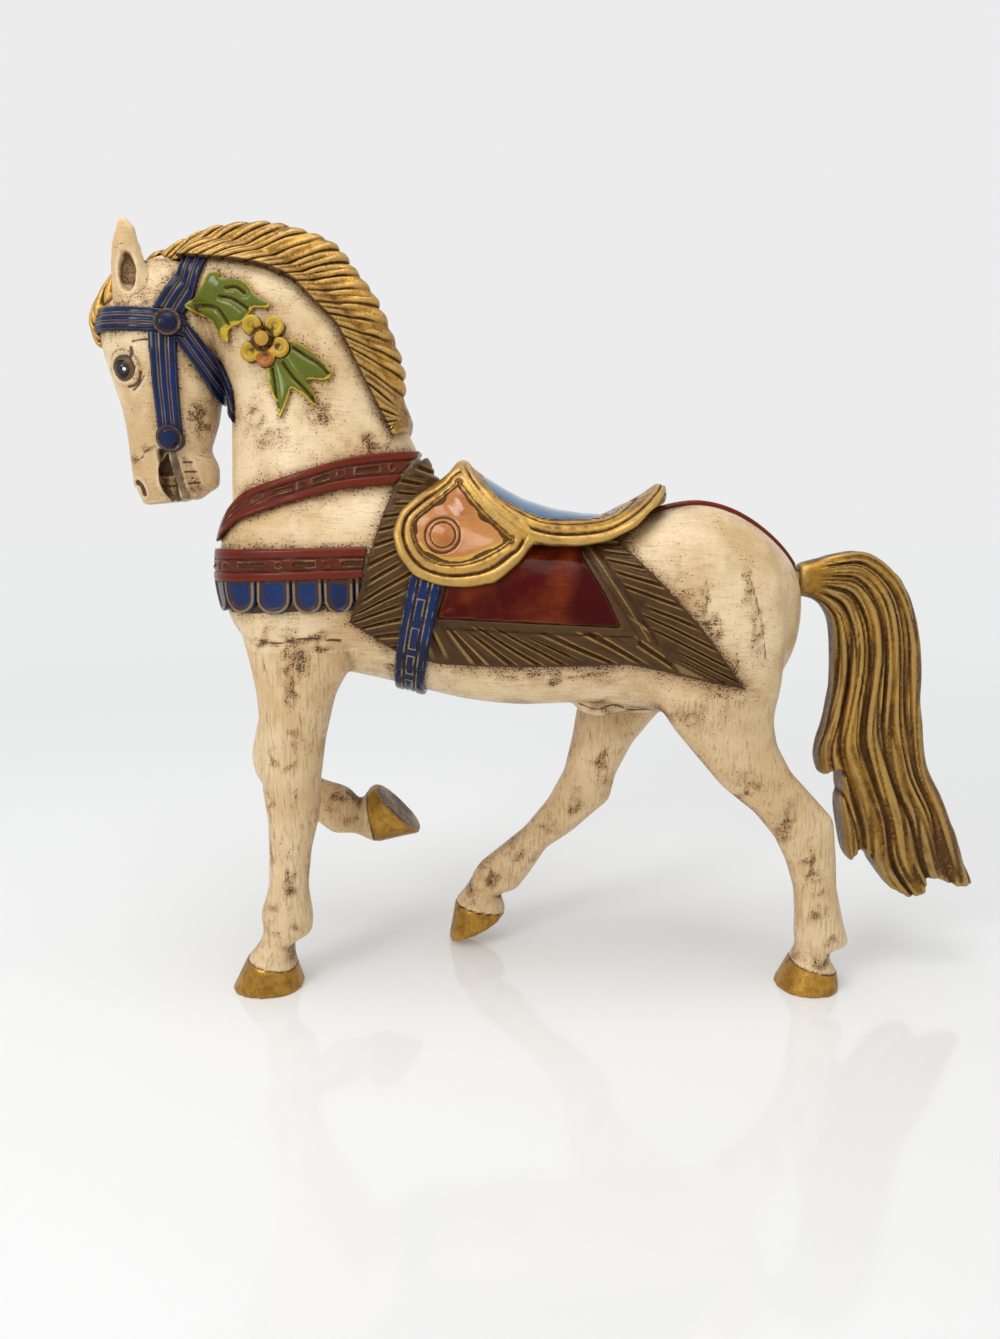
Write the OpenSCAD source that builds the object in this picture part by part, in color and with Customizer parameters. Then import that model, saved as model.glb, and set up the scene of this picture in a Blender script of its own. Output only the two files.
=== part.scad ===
// Carved and painted wooden horse figure: glued wooden blocks, dowels, raised
// harness and saddle trim, and a tail that plugs into the rump.
// Millimetres. +Z is up, the head points to -X, the middle plane is y = 0,
// the horse's left side faces -Y and the soles stand on z = 0.

/* [Wooden blocks] */
// Half the width of the body block at the saddle
body_half = 42; // [39:1:45]
// Half the width of the neck block at its base
neck_half = 32; // [29:1:34]
// Half the width of the head at the cheeks
cheek_half = 21; // [19:0.5:23]
// Distance from the middle plane to the middle of each leg
leg_offset = 25; // [24:0.5:27]
// Height of the glue face between the front legs and the body
fore_joint_z = 158; // [154:1:162]
// Height of the glue face between the hind legs and the body
hind_joint_z = 138; // [135:1:140]
// Half the gap left between the left and right leg blocks
leg_gap_half = 5; // [4:0.5:5]

/* [Harness and saddle] */
// Height of the leather straps above the wood
strap_depth = 2.4; // [1.8:0.2:3.2]
// Height of the bridle straps above the head
bridle_depth = 2; // [1.4:0.2:2.6]
// Height of the fringed blanket above the wood
blanket_depth = 3; // [2.2:0.2:3.6]
// Height of the saddle flaps above the blanket
flap_depth = 4; // [3:0.2:5]
// Height of the flap panels above the flaps' own ground
panel_relief = 0.8; // [0.4:0.2:1.2]
// Height of the seat's edge band above the seat
rim_depth = 2; // [1.4:0.2:2.6]
// Half the width of the crupper strap
crupper_half = 4; // [3:0.5:5]
// Number of scallops round the breast
scallop_count = 12; // [10:2:14]

/* [Mane and tail] */
// Number of locks cut in the mane
lock_count = 24; // [18:1:28]
// Depth of the cuts between the mane's locks
lock_cut = 1.2; // [0.6:0.2:1.6]
// Depth of the long cuts between the tail's strands
strand_cut = 1.4; // [0.8:0.2:1.8]

/* [Ornaments] */
// Height of the mane above the sides of the neck
mane_depth = 4; // [3:0.5:5]
// Height of the leaves above the neck
leaf_depth = 2.6; // [2:0.2:3.4]
// Radius of the flower's ring of petal middles
petal_ring = 6.6; // [6:0.2:7.2]
// Radius of one petal
petal_r = 5; // [4.4:0.2:5.4]
// Radius of the flower's middle boss
flower_boss_r = 3.6; // [3:0.2:4]
// Radius of the bridle rosettes
rosette_r = 5.6; // [5:0.2:6.2]
// Height of the rosettes above the bridle straps
rosette_relief = 2.2; // [1.6:0.2:2.8]
// Radius of the round boss on each saddle flap
flap_boss_r = 5.4; // [4.6:0.2:6]
// Radius of each eye
eye_r = 4.6; // [4:0.2:5]

/* [Dowels and tail plug] */
// Radius of the dowels in the legs, neck and head
dowel_r = 4; // [3:0.5:4.5]
// Length of the dowels in the legs, neck and head
dowel_len = 30; // [24:1:32]
// Radius of the dowel in the bent knee
knee_dowel_r = 2.5; // [2:0.25:3]
// Length of the dowel in the bent knee
knee_dowel_len = 16; // [12:1:18]
// Radius of the peg that carries the tail
tail_peg_r = 4; // [3.5:0.25:4.5]
// Length of the peg inside the rump
tail_peg_reach = 24; // [20:1:28]
// Length of the peg inside the tail
tail_peg_hold = 12; // [9:1:14]
// Radial clearance of the tail peg in its socket
peg_clearance = 0.05; // [0.02:0.01:0.1]
// Gap between the tail's root and the rump
tail_gap = 0.3; // [0.2:0.05:0.4]

/* [Hidden] */

ivory = [0.86, 0.76, 0.6];
gold = [0.72, 0.52, 0.16];
brown = [0.36, 0.22, 0.1];
red = [0.45, 0.08, 0.05];
blue = [0.06, 0.14, 0.32];
green = [0.25, 0.38, 0.08];
orange = [0.72, 0.36, 0.1];
wood = [0.75, 0.6, 0.4];

reach = 2 * body_half;
span = 200;
fore_back_x = -86;
hind_front_x = 36;
far_hind_front_x = 12;
far_hind_foot_z = 118;
flap_boss = [-47, 208];
petal_turn = 58;
thigh_half = body_half + 2.5 - leg_offset;
shoulder_half = body_half - 1.5 - leg_offset;
socket_r = tail_peg_r + peg_clearance;
tail_x = 113.5;
tail_z = 186.5;
crupper_x = 38;
crupper_foot_z = tail_z + 2.5;
peg_start = tail_x - tail_peg_reach;
peg_len = tail_peg_reach + tail_gap + tail_peg_hold;
flap_top = blanket_depth + flap_depth;
eye_x = -184.5;
eye_z = 278.5;
eye_y = cheek_half - 5.5;
flower_x = -122.5;
flower_z = 290;
knee_x = -135.5;
knee_z = 88.5;
ear_hollow = [-182, -5.2, 319];
ear_hollow_size = [4, 3.4, 9];
upper_rosette = [-164, 297];
lower_rosette = [-167, 249];
front_neck_dowel = [-128, 0, 204];
rear_neck_dowel = [-82, 0, 216];
head_dowel = [-164, 0, 288];
neck_dowel_tilt = 16;
head_dowel_tilt = 72;
fore_dowel_x = [-108, -116];
hind_dowel_x = [74, 44];
knee_dowel_tilt = 115;
scallop_centre_x = -95;
scallop_foot_z = 174.5;
scallop_span = 208;
scallop_notch = 4.5;
sheath_front = [24, 0, 130];
sheath_rear = [42, 0, 130];
lock_lean = 0.8;
strand_shares = [0.015, 0.1, 0.2, 0.3, 0.4, 0.5, 0.6, 0.7, 0.8, 0.9, 0.985];
mouth_line = [[-174, 245], [-170, 245], [-162, 215], [-171, 215]];

// Each row of a form is [x and z of its upper or front edge, x and z of its
// lower or back edge, half width, distance from the middle plane].
trunk_rows = [
    [-148, 206, -149, 186, 0.32 * body_half, 0],
    [-143, 219, -145, 170, 0.6 * body_half, 0],
    [-131, 231, -138, 158, 0.84 * body_half, 0],
    [-110, 236, -116, 147, 0.95 * body_half, 0],
    [-87, 236, -92, 144, 0.98 * body_half, 0],
    [-64, 229, -69, 139, 0.97 * body_half, 0],
    [-37, 216, -41, 132, body_half, 0],
    [-5, 209, -13, 129, 1.02 * body_half, 0],
    [23, 210, 19, 130, body_half, 0],
    [46, 217, 43, 127, body_half, 0],
    [66, 221, 66, 122, body_half, 0],
    [84, 216.5, 86, 124, 0.93 * body_half, 0],
    [99, 206.5, 100, 135, 0.78 * body_half, 0],
    [109.5, 195, 110, 151, 0.5 * body_half, 0],
    [114, 184, 114, 165, 0.22 * body_half, 0]];

neck_rows = [
    [-34, 194, -131, 162, 0.84 * neck_half, 0],
    [-47, 220, -140.5, 189, neck_half, 0],
    [-58, 240, -144.7, 212, 0.95 * neck_half, 0],
    [-66.5, 258, -144.2, 236, 0.84 * neck_half, 0],
    [-75, 278, -143.7, 254, 0.75 * neck_half, 0],
    [-86, 296, -143.5, 268, 0.67 * neck_half, 0],
    [-101, 312, -147, 282, 0.61 * neck_half, 0],
    [-119, 324, -152, 295, 0.57 * neck_half, 0],
    [-137, 330, -158, 305, 0.52 * neck_half, 0],
    [-152, 331, -165, 313, 0.42 * neck_half, 0]];

head_rows = [
    [-182, 323, -168, 329, 0.33 * cheek_half, 0],
    [-190, 314, -160, 325, 0.58 * cheek_half, 0],
    [-197, 305, -151, 314, 0.82 * cheek_half, 0],
    [-200, 297, -148, 298, 0.95 * cheek_half, 0],
    [-199, 288, -148, 283, cheek_half, 0],
    [-196, 277, -148, 269, 0.96 * cheek_half, 0],
    [-192, 263, -150, 257, 0.82 * cheek_half, 0],
    [-190.5, 251, -154, 245, 0.69 * cheek_half, 0],
    [-190, 240, -150.5, 237, 0.62 * cheek_half, 0],
    [-189, 230, -151, 229, 0.6 * cheek_half, 0],
    [-185, 220.5, -160, 223, 0.42 * cheek_half, 0]];

near_fore_rows = [
    [-132, 208, -92, 212, 8, -leg_offset],
    [-137, 188, -84, 192, shoulder_half - 1.5, -leg_offset - 1],
    [-138, 168, -86, 168, shoulder_half, -leg_offset],
    [-134, 153, -89, 149, shoulder_half, -leg_offset],
    [-131, 137, -96, 137, 15, -leg_offset],
    [-130, 116, -101, 117, 13.5, -leg_offset],
    [-130, 95, -104, 96, 13, -leg_offset],
    [-128, 80, -105, 81, 12.5, -leg_offset],
    [-128, 65, -109, 65, 10.5, -leg_offset],
    [-129, 48, -111, 48, 9.5, -leg_offset],
    [-133, 35, -109, 33, 10.5, -leg_offset],
    [-132, 28, -110, 26, 10, -leg_offset],
    [-133, 23, -118, 21, 9, -leg_offset],
    [-137, 17, -118, 14, 11, -leg_offset],
    [-140, 14, -117, 10, 13, -leg_offset],
    [-147, 0, -114, 0, 16, -leg_offset]];

far_fore_rows = [
    [-132, 208, -92, 212, 8, leg_offset],
    [-137, 188, -84, 192, shoulder_half - 1.5, leg_offset + 1],
    [-136, 168, -86, 165, shoulder_half, leg_offset],
    [-137, 150, -96, 142, 15, leg_offset],
    [-139, 130, -109, 125, 13.5, leg_offset],
    [-144, 112, -121, 108, 12.5, leg_offset],
    [-147, 98, -124, 97, 11.5, leg_offset],
    [-145, 88, -127, 91, 11, leg_offset],
    [-140, 79, -131, 85, 6, leg_offset]];

far_cannon_rows = [
    [-131, 97, -140, 78, 10, leg_offset],
    [-121, 89, -129, 70, 10.5, leg_offset],
    [-111, 84, -116, 64, 9.5, leg_offset],
    [-101, 81, -107, 57, 10, leg_offset],
    [-97, 78, -102, 57, 9.5, leg_offset],
    [-94, 74, -96, 57, 9, leg_offset],
    [-91, 76, -89, 54, 11, leg_offset],
    [-90, 79, -85, 52.5, 13, leg_offset],
    [-86, 82, -62, 58, 15, leg_offset]];

near_hind_rows = [
    [50, 204, 94, 204, 8, -leg_offset + 2],
    [38, 184, 101, 190, thigh_half - 3.5, -leg_offset + 1],
    [37, 160, 104, 168, thigh_half, -leg_offset],
    [43, 138, 102, 142, thigh_half - 0.5, -leg_offset],
    [54, 122, 99, 127, 16.5, -leg_offset],
    [65, 109, 101, 115, 14.5, -leg_offset],
    [77, 95, 108, 102, 13.5, -leg_offset],
    [92, 83, 119, 90, 12, -leg_offset],
    [102, 71, 128, 80, 11, -leg_offset],
    [108, 59, 130, 62, 10, -leg_offset],
    [112, 46, 131, 48, 9.5, -leg_offset],
    [113, 34, 135, 31, 10.5, -leg_offset],
    [113, 25, 138, 21, 10.5, -leg_offset],
    [114, 20, 129, 17, 9, -leg_offset],
    [113, 15, 130, 12, 11, -leg_offset],
    [111, 12, 133, 8, 13, -leg_offset],
    [105, 0, 134, 0, 15.5, -leg_offset]];

far_hind_rows = [
    [42, 204, 92, 204, 8, leg_offset - 2],
    [28, 184, 102, 188, thigh_half - 3.5, leg_offset - 1],
    [22, 160, 100, 162, thigh_half, leg_offset],
    [20, 138, 82, 138, thigh_half - 0.5, leg_offset],
    [15, 121, 55, 119, 16.5, leg_offset],
    [13, 107, 43, 104, 14.5, leg_offset],
    [9, 89, 35, 88, 13, leg_offset],
    [1, 74, 32, 75, 11.5, leg_offset],
    [-11, 59, 14, 59, 10, leg_offset],
    [-23, 49, 1, 50, 9.5, leg_offset],
    [-33, 41, -8, 36, 10, leg_offset],
    [-37, 35, -14, 28, 10, leg_offset],
    [-39, 30, -23, 25, 9, leg_offset],
    [-42, 26, -21, 20, 11, leg_offset],
    [-46, 21, -20, 16, 12.5, leg_offset],
    [-49.5, 0.5, -22, 13, 14, leg_offset]];

tail_rows = [
    [113.8, 194, 113.8, 179, 7.5, 0],
    [121, 196, 120, 178, 8, 0],
    [131, 199, 126, 174, 9, 0],
    [146, 200, 130, 166, 10, 0],
    [161.5, 188, 131, 152, 10.5, 0],
    [170, 168, 131, 136, 11, 0],
    [174, 146, 128, 118, 11.5, 0],
    [176.5, 122, 125, 102, 11.5, 0],
    [180, 98, 131, 84, 11, 0],
    [191, 79, 136, 66, 10.5, 0],
    [201, 56, 142, 48, 9, 0],
    [207, 38, 160, 30, 7, 0]];

saddle_rows = [
    [-66, 222, -66, 206, 9, 0],
    [-60, 226, -61, 196, 20, 0],
    [-52, 231, -54, 184, 29, 0],
    [-44, 237, -46, 178, 32, 0],
    [-38, 238.5, -38, 176, 34, 0],
    [-31, 234, -31, 175, 35, 0],
    [-23, 229, -23, 174, 36, 0],
    [-13, 223.5, -13, 174, 37, 0],
    [1, 219, 1, 174, 38, 0],
    [14, 217, 14, 174, 39, 0],
    [25, 216.5, 25, 176, 38.5, 0],
    [35, 219.5, 34, 182, 36, 0],
    [43, 223.5, 42, 192, 29, 0],
    [48, 227, 48, 206, 18, 0],
    [50.5, 227, 50, 214, 8, 0]];

crest_rows = [
    [-185, 325, -179, 315, 7, 0],
    [-175, 329.5, -170, 319, 7.5, 0],
    [-161, 335.5, -158, 320, 8.5, 0],
    [-147, 341, -147, 320, 9.5, 0],
    [-126, 343, -128, 318, 10, 0],
    [-110, 340, -116, 314, 10, 0],
    [-95, 334, -107, 306, 10, 0],
    [-86, 323, -100, 298, 10, 0],
    [-77, 311, -93, 290, 9.5, 0],
    [-70, 295, -86, 276, 9, 0],
    [-65, 279, -80, 262, 8.5, 0],
    [-65.5, 265, -76, 254, 7, 0],
    [-69, 255, -76, 250, 4, 0]];

forelock_rows = [
    [-168, 335, -164, 322, 7, 0],
    [-180, 331, -175, 315, 9, 0],
    [-192, 322, -184, 308, 10, 0],
    [-202, 308, -191, 300, 9.5, 0],
    [-204.5, 299, -193, 295, 8.5, 0],
    [-202, 290, -194, 289, 5, 0]];

ear_rows = [
    [-190, 304, -170, 303, 5.5, 0],
    [-190, 313, -171, 312, 5, 0],
    [-190, 322, -175, 322, 4.5, 0],
    [-189, 331, -178, 332, 3.5, 0],
    [-187, 337, -179, 337.5, 2.5, 0],
    [-185.5, 341.3, -182.5, 341.3, 1.2, 0]];

// Side outlines [x, z], cut straight through across the figure.
head_side = [[-230, 370], [-150, 370], [-152, 332], [-158, 318], [-142, 270], [-147, 258],
    [-148.5, 246], [-146.3, 240], [-146.3, 234], [-150, 218], [-230, 210]];
above_neck_base = [[-175, 203], [-155, 209], [-50, 240], [-30, 250], [-30, 370], [-175, 370]];
mane_line = [
    [-190, 324], [-172, 325], [-158, 325], [-146, 324], [-127, 322], [-113, 317],
    [-103, 307], [-94, 298], [-87, 285], [-78, 267], [-72, 255], [-70, 250], [-64, 252],
    [-52, 290], [-80, 350], [-190, 350]];
browband_line = [[-215, 306], [-166, 303], [-157, 300], [-158, 291], [-167, 293], [-215, 295]];
crown_line = [[-171, 303], [-160, 323], [-156, 345], [-140, 345], [-149, 321], [-158, 301]];
cheek_line = [[-173, 300], [-161, 300], [-161, 278], [-162, 243], [-172, 243], [-172, 278]];
throat_line = [
    [-162, 300], [-157.5, 298], [-152, 291], [-145, 280], [-140.5, 270], [-140, 256],
    [-146, 262], [-150, 270], [-155, 280], [-163, 292]];
upper_leaf_line = [[-157, 305], [-152, 308], [-148, 310], [-143, 318], [-135, 315], [-126, 309],
    [-119, 305], [-127, 302], [-131, 300], [-133, 293], [-140, 289], [-144, 295], [-154, 300]];
lower_leaf_line = [[-111, 289], [-103, 284], [-94, 275], [-103, 274], [-99, 263], [-108, 267],
    [-115, 258], [-121, 267], [-123, 277], [-119, 286]];
upper_breast_line = [[-59, 244], [-85, 241], [-109, 234], [-134, 226], [-146, 215], [-158, 213],
    [-158, 204], [-147, 205], [-135, 214], [-111, 222], [-90, 227], [-69, 229]];
lower_breast_line = [[-79, 203], [-158, 201], [-158, 187], [-81, 190]];
scallop_line = [[-81, 190], [-158, 187], [-158, 173], [-84, 176]];
blanket_line = [[-56, 252], [-56, 242], [-68, 229], [-72, 218], [-76, 205], [-81, 187],
    [-87, 171], [-69, 159], [-50, 153], [-29, 152], [-1, 152], [32, 153], [81, 143],
    [62, 169], [45, 188], [28.5, 204.5], [46, 222], [46, 252]];
panel_line = [[-50, 173], [28, 169], [22, 182], [12, 199], [12, 214], [-46, 214], [-46, 185]];
girth_line = [
    [-60, 191], [-47, 189], [-57, 141], [-58, 110], [-72, 110], [-70, 144]];
girth_step_line = [[-90, 151], [-40, 150], [-40, 200], [-90, 200]];
flap_line = [[-42, 244], [-45, 235], [-57, 226], [-65, 218], [-68, 209], [-66, 200], [-59, 191],
    [-49, 187], [-38, 186], [-25, 188], [-15, 196], [-9.5, 203], [-6, 206], [-12, 214],
    [-25, 226], [-36, 244]];
flap_panel_line = [[-41, 229], [-54, 218], [-59, 212], [-56, 202], [-48, 197], [-37, 197],
    [-25, 202], [-19, 206], [-30, 216]];
seat_line = [[-44, 260], [-41, 238], [-38, 231], [-27, 218], [-16, 208], [-10, 204], [-1, 203],
    [11, 203], [23, 205], [35, 211], [44, 219], [60, 224], [60, 260]];
seat_top_line = [[-31, 260], [-37, 238], [-30, 229], [-21, 222], [-9, 216], [-1, 214],
    [15, 214], [27, 217], [40, 226], [46, 229], [46, 260]];
tail_line = [[100, 220], [160, 220], [180, 180], [180, 100], [186, 84], [194, 67], [200, 50],
    [205, 40], [198, 39], [194, 40], [187, 44], [182, 45], [181, 36], [174, 34], [165, 39],
    [157, 50], [150, 59], [148, 58], [145, 52], [142, 58], [139, 76], [138, 98], [135, 98],
    [126, 93], [123, 103], [100, 130]];

function curve(a, b, c, d, t) =
    (2 * b + (c - a) * t + (2 * a - 5 * b + 4 * c - d) * t * t
        + (3 * b - a - 3 * c + d) * t * t * t) / 2;
function eased(rows, k) = let (n = len(rows)) [
    for (i = [0:n - 2])
        for (j = [0:k - 1])
            curve(rows[max(i - 1, 0)], rows[i], rows[i + 1], rows[min(i + 2, n - 1)], j / k),
    rows[n - 1]];
function swell(v, e) = sign(v) * pow(abs(v), e);
function middle(s) = [(s[0] + s[2]) / 2, (s[1] + s[3]) / 2];
function unit(v) = v / max(norm(v), 0.001);
function end_share(i) = i == 0 ? 1 : (i == 1 ? 0.7 : (i == 2 ? 0.3 : 0));
function grown(rows, t) = let (n = len(rows)) [
    for (i = [0:n - 1])
        let (s = rows[i])
        let (d = unit([s[0] - s[2], s[1] - s[3]]) * t)
        let (p = unit(middle(rows[min(i + 1, n - 1)]) - middle(rows[max(i - 1, 0)])))
        let (q = p * t * (end_share(n - 1 - i) - end_share(i)))
        [s[0] + d[0] + q[0], s[1] + d[1] + q[1], s[2] - d[0] + q[0], s[3] - d[1] + q[1],
            s[4] + t, s[5]]];
function hoop(s, n, e) = [
    for (i = [0:n - 1])
        let (c = swell(cos(360 * (i + 0.5) / n), e))
        let (q = swell(sin(360 * (i + 0.5) / n), e))
        [middle(s)[0] + (s[0] - s[2]) / 2 * c, s[5] + s[4] * q,
            middle(s)[1] + (s[1] - s[3]) / 2 * c]];
function at(rows, u) =
    let (n = len(rows))
    let (v = min(max(u, 0), n - 1.001))
    let (i = floor(v))
    curve(rows[max(i - 1, 0)], rows[i], rows[i + 1], rows[min(i + 2, n - 1)], v - i);
function locks(rows, count, lean, cut) = let (n = len(rows) - 1) [
    for (k = [0:2 * count])
        let (u = n * k / (2 * count))
        let (shift = lean * min(1, u / 1.5, (n - u) / 1.5))
        let (a = at(rows, u + shift))
        let (b = at(rows, u - shift))
        let (d = k % 2 == 0 ? cut : 0)
        let (p = unit([a[0] - b[2], a[1] - b[3]]) * d)
        [a[0] - p[0], a[1] - p[1], b[2], b[3], at(rows, u)[4] - d, 0]];
function strand_point(s, w, cut, way) =
    let (c = 1 - 2 * w)
    let (q = way * pow(1 - pow(abs(c), 2 / 0.85), 0.85 / 2))
    [middle(s)[0] + (s[0] - s[2]) / 2 * c, s[5] + (s[4] - cut) * q,
        middle(s)[1] + (s[1] - s[3]) / 2 * c];
function strands(s, u, cut) =
    let (sway = 0.14 * sin(75 * u))
    let (d = cut * min(1, max(0, u - 1)))
    let (n = len(strand_shares))
    [for (i = [0:2 * n - 1])
        let (j = i < n ? i : 2 * n - 1 - i)
        let (w = strand_shares[j])
        strand_point(s, w + sway * w * (1 - w), j > 1 && j < n - 2 && j % 2 == 0 ? d : 0,
            i < n ? 1 : -1)];
function side(rows) =
    let (m = floor(len(rows) / 2))
    let (p = middle(rows[m]) - middle(rows[m - 1]))
    (rows[m][0] - rows[m][2]) * p[1] - (rows[m][1] - rows[m][3]) * p[0];

module skin(hoops, outward) {
    n = len(hoops[0]);
    m = len(hoops);
    first = [for (i = [0:n - 1]) outward ? i : n - 1 - i];
    last = [for (i = [0:n - 1]) (m - 1) * n + (outward ? n - 1 - i : i)];
    walls = [
        for (r = [0:m - 2])
            for (i = [0:n - 1])
                let (a = r * n + i)
                let (b = r * n + (i + 1) % n)
                each outward ? [[a, a + n, b], [b, a + n, b + n]]
                    : [[a, b, a + n], [b, b + n, a + n]]];
    polyhedron(
        points = [for (h = hoops) each h],
        faces = concat([first], walls, [last]));
}

module loft(rows, n, e, k) {
    skin([for (s = eased(rows, k)) hoop(s, n, e)], side(rows) > 0);
}

// Evaluates a carved form as one closed skin before true bores are cut in it.
module carved() {
    resize([0, 0, 0]) children();
}

// Cuts a side outline [x, z] straight through from y0 to y1.
module through(line, y0, y1) {
    translate([0, y1, 0])
        rotate([90, 0, 0])
            linear_extrude(y1 - y0)
                polygon(line);
}

module through_all(line) {
    through(line, -reach, reach);
}

// A facetted hole whose flats touch a dowel of radius r.
module hole(r, h) {
    cylinder(h = h, r = r / cos(180 / 14), $fn = 14);
}

module both_sides() {
    children();
    mirror([0, 1, 0])
        children();
}

module trunk_form(t = 0) {
    loft(grown(trunk_rows, t), 24, 0.86, 2);
    loft(grown(near_fore_rows, t), 14, 0.9, 1);
    loft(grown(far_fore_rows, t), 14, 0.9, 1);
    loft(grown(near_hind_rows, t), 14, 0.9, 1);
    loft(grown(far_hind_rows, t), 14, 0.9, 1);
}

module neck_form(t = 0) {
    loft(grown(neck_rows, t), 20, 0.96, 2);
}

module head_form(t = 0) {
    loft(grown(head_rows, t), 20, 0.9, 1);
}

module body_shell(inner, outer) {
    difference() {
        union() {
            trunk_form(outer);
            neck_form(outer);
        }
        trunk_form(inner);
        neck_form(inner);
    }
}

module head_shell(inner, outer) {
    difference() {
        union() {
            head_form(outer);
            neck_form(outer);
        }
        head_form(inner);
        neck_form(inner);
    }
}

module block(x0, x1, y0, y1, z1) {
    translate([x0, y0, -10])
        cube([x1 - x0, y1 - y0, z1 + 10]);
}

module near_fore_block() {
    block(-span, fore_back_x, -reach, -leg_gap_half, fore_joint_z);
}

module far_fore_block() {
    block(-span, fore_back_x, leg_gap_half, reach, fore_joint_z);
}

module near_hind_block() {
    block(hind_front_x, span, -reach, -leg_gap_half, hind_joint_z);
}

module far_hind_block() {
    block(far_hind_front_x, span, leg_gap_half, reach, hind_joint_z);
    block(fore_back_x, far_hind_front_x + 0.1, leg_gap_half, reach, far_hind_foot_z);
}

module leg_dowel_places() {
    translate([fore_dowel_x[0], -leg_offset, fore_joint_z - dowel_len / 2])
        children();
    translate([fore_dowel_x[1], leg_offset, fore_joint_z - dowel_len / 2])
        children();
    translate([hind_dowel_x[0], -leg_offset, hind_joint_z - dowel_len / 2])
        children();
    translate([hind_dowel_x[1], leg_offset, hind_joint_z - dowel_len / 2])
        children();
}

module neck_dowel_places() {
    translate(front_neck_dowel)
        rotate([0, neck_dowel_tilt, 0])
            children();
    translate(rear_neck_dowel)
        rotate([0, neck_dowel_tilt, 0])
            children();
    translate(head_dowel)
        rotate([0, head_dowel_tilt, 0])
            children();
}

module knee_dowel_place() {
    translate([knee_x, leg_offset, knee_z])
        rotate([0, knee_dowel_tilt, 0])
            translate([0, 0, -knee_dowel_len / 2])
                children();
}

module sheath() {
    translate(sheath_front)
        scale([14, 8, 8])
            sphere(r = 1, $fn = 14);
    translate(sheath_rear)
        scale([12, 8, 7])
            sphere(r = 1, $fn = 14);
}

module trunk_block() {
    difference() {
        union() {
            trunk_form();
            neck_form();
        }
        near_fore_block();
        far_fore_block();
        near_hind_block();
        far_hind_block();
        through_all(above_neck_base);
    }
}

module torso() {
    color(ivory)
        difference() {
            carved()
                difference() {
                    union() {
                        trunk_block();
                        sheath();
                    }
                    leg_dowel_places()
                        hole(dowel_r, dowel_len);
                    neck_dowel_places()
                        hole(dowel_r, dowel_len);
                    translate([tail_x, 0, tail_z])
                        rotate([0, 90, 0])
                            cylinder(h = 20, r = 10, $fn = 32);
                }
            translate([peg_start - 1, 0, tail_z])
                rotate([0, 90, 0])
                    cylinder(h = 60, r = socket_r, $fn = 64);
        }
}

module neck() {
    color(ivory)
        carved()
            difference() {
                intersection() {
                    union() {
                        trunk_form();
                        neck_form();
                        head_form();
                    }
                    through_all(above_neck_base);
                }
                through_all(head_side);
                neck_dowel_places()
                    hole(dowel_r, dowel_len);
            }
}

module eye_places() {
    both_sides()
        translate([eye_x, -eye_y, eye_z])
            children();
}

module head() {
    color(ivory)
        carved()
            difference() {
                intersection() {
                    union() {
                        head_form();
                        neck_form();
                    }
                    through_all(head_side);
                }
                eye_places()
                    sphere(r = eye_r * 1.06, $fn = 14);
                through_all(mouth_line);
                neck_dowel_places()
                    hole(dowel_r, dowel_len);
            }
}

module ear_form() {
    difference() {
        loft(ear_rows, 12, 0.9, 1);
        translate(ear_hollow)
            scale(ear_hollow_size)
                sphere(r = 1, $fn = 14);
    }
}

module left_ear_form() {
    translate([0, -12, 0])
        ear_form();
}

module right_ear_form() {
    translate([-6, 11, -1])
        mirror([0, 1, 0])
            ear_form();
}

module left_ear() {
    color(ivory)
        carved()
            difference() {
                left_ear_form();
                head_form();
            }
}

module right_ear() {
    color(ivory)
        carved()
            difference() {
                right_ear_form();
                head_form();
            }
}

module leg(rows) {
    carved()
        difference() {
            intersection() {
                union() {
                    loft(rows, 14, 0.9, 1);
                    loft(trunk_rows, 24, 0.86, 2);
                }
                children();
            }
            sheath();
            leg_dowel_places()
                hole(dowel_r, dowel_len);
        }
}

module left_foreleg() {
    color(ivory)
        leg(near_fore_rows)
            near_fore_block();
}

module right_forearm() {
    color(ivory)
        carved()
            difference() {
                intersection() {
                    union() {
                        loft(far_fore_rows, 14, 0.9, 1);
                        loft(trunk_rows, 24, 0.86, 2);
                    }
                    far_fore_block();
                }
                leg_dowel_places()
                    hole(dowel_r, dowel_len);
                loft(far_cannon_rows, 14, 0.9, 1);
                knee_dowel_place()
                    hole(knee_dowel_r, knee_dowel_len);
            }
}

module right_cannon() {
    color(ivory)
        carved()
            difference() {
                loft(far_cannon_rows, 14, 0.9, 1);
                knee_dowel_place()
                    hole(knee_dowel_r, knee_dowel_len);
            }
}

module left_hind_leg() {
    color(ivory)
        leg(near_hind_rows)
            near_hind_block();
}

module right_hind_leg() {
    color(ivory)
        leg(far_hind_rows)
            far_hind_block();
}

module leg_dowels() {
    color(wood)
        leg_dowel_places()
            cylinder(h = dowel_len, r = dowel_r, $fn = 48);
}

module neck_dowels() {
    color(wood)
        neck_dowel_places()
            cylinder(h = dowel_len, r = dowel_r, $fn = 48);
}

module knee_dowel() {
    color(wood)
        knee_dowel_place()
            cylinder(h = knee_dowel_len, r = knee_dowel_r, $fn = 48);
}

module mane_form() {
    intersection() {
        union() {
            neck_form(mane_depth);
            loft(locks(crest_rows, lock_count, lock_lean, lock_cut), 14, 0.8, 1);
        }
        through_all(mane_line);
    }
}

module mane() {
    color(gold)
        carved()
            difference() {
                mane_form();
                neck_form();
                head_form();
            }
}

module forelock() {
    color(gold)
        carved()
            difference() {
                loft(forelock_rows, 14, 0.85, 2);
                head_form();
                neck_form();
                through_all(mane_line);
                bridle_strap(browband_line);
                left_ear_form();
                right_ear_form();
            }
}

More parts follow.
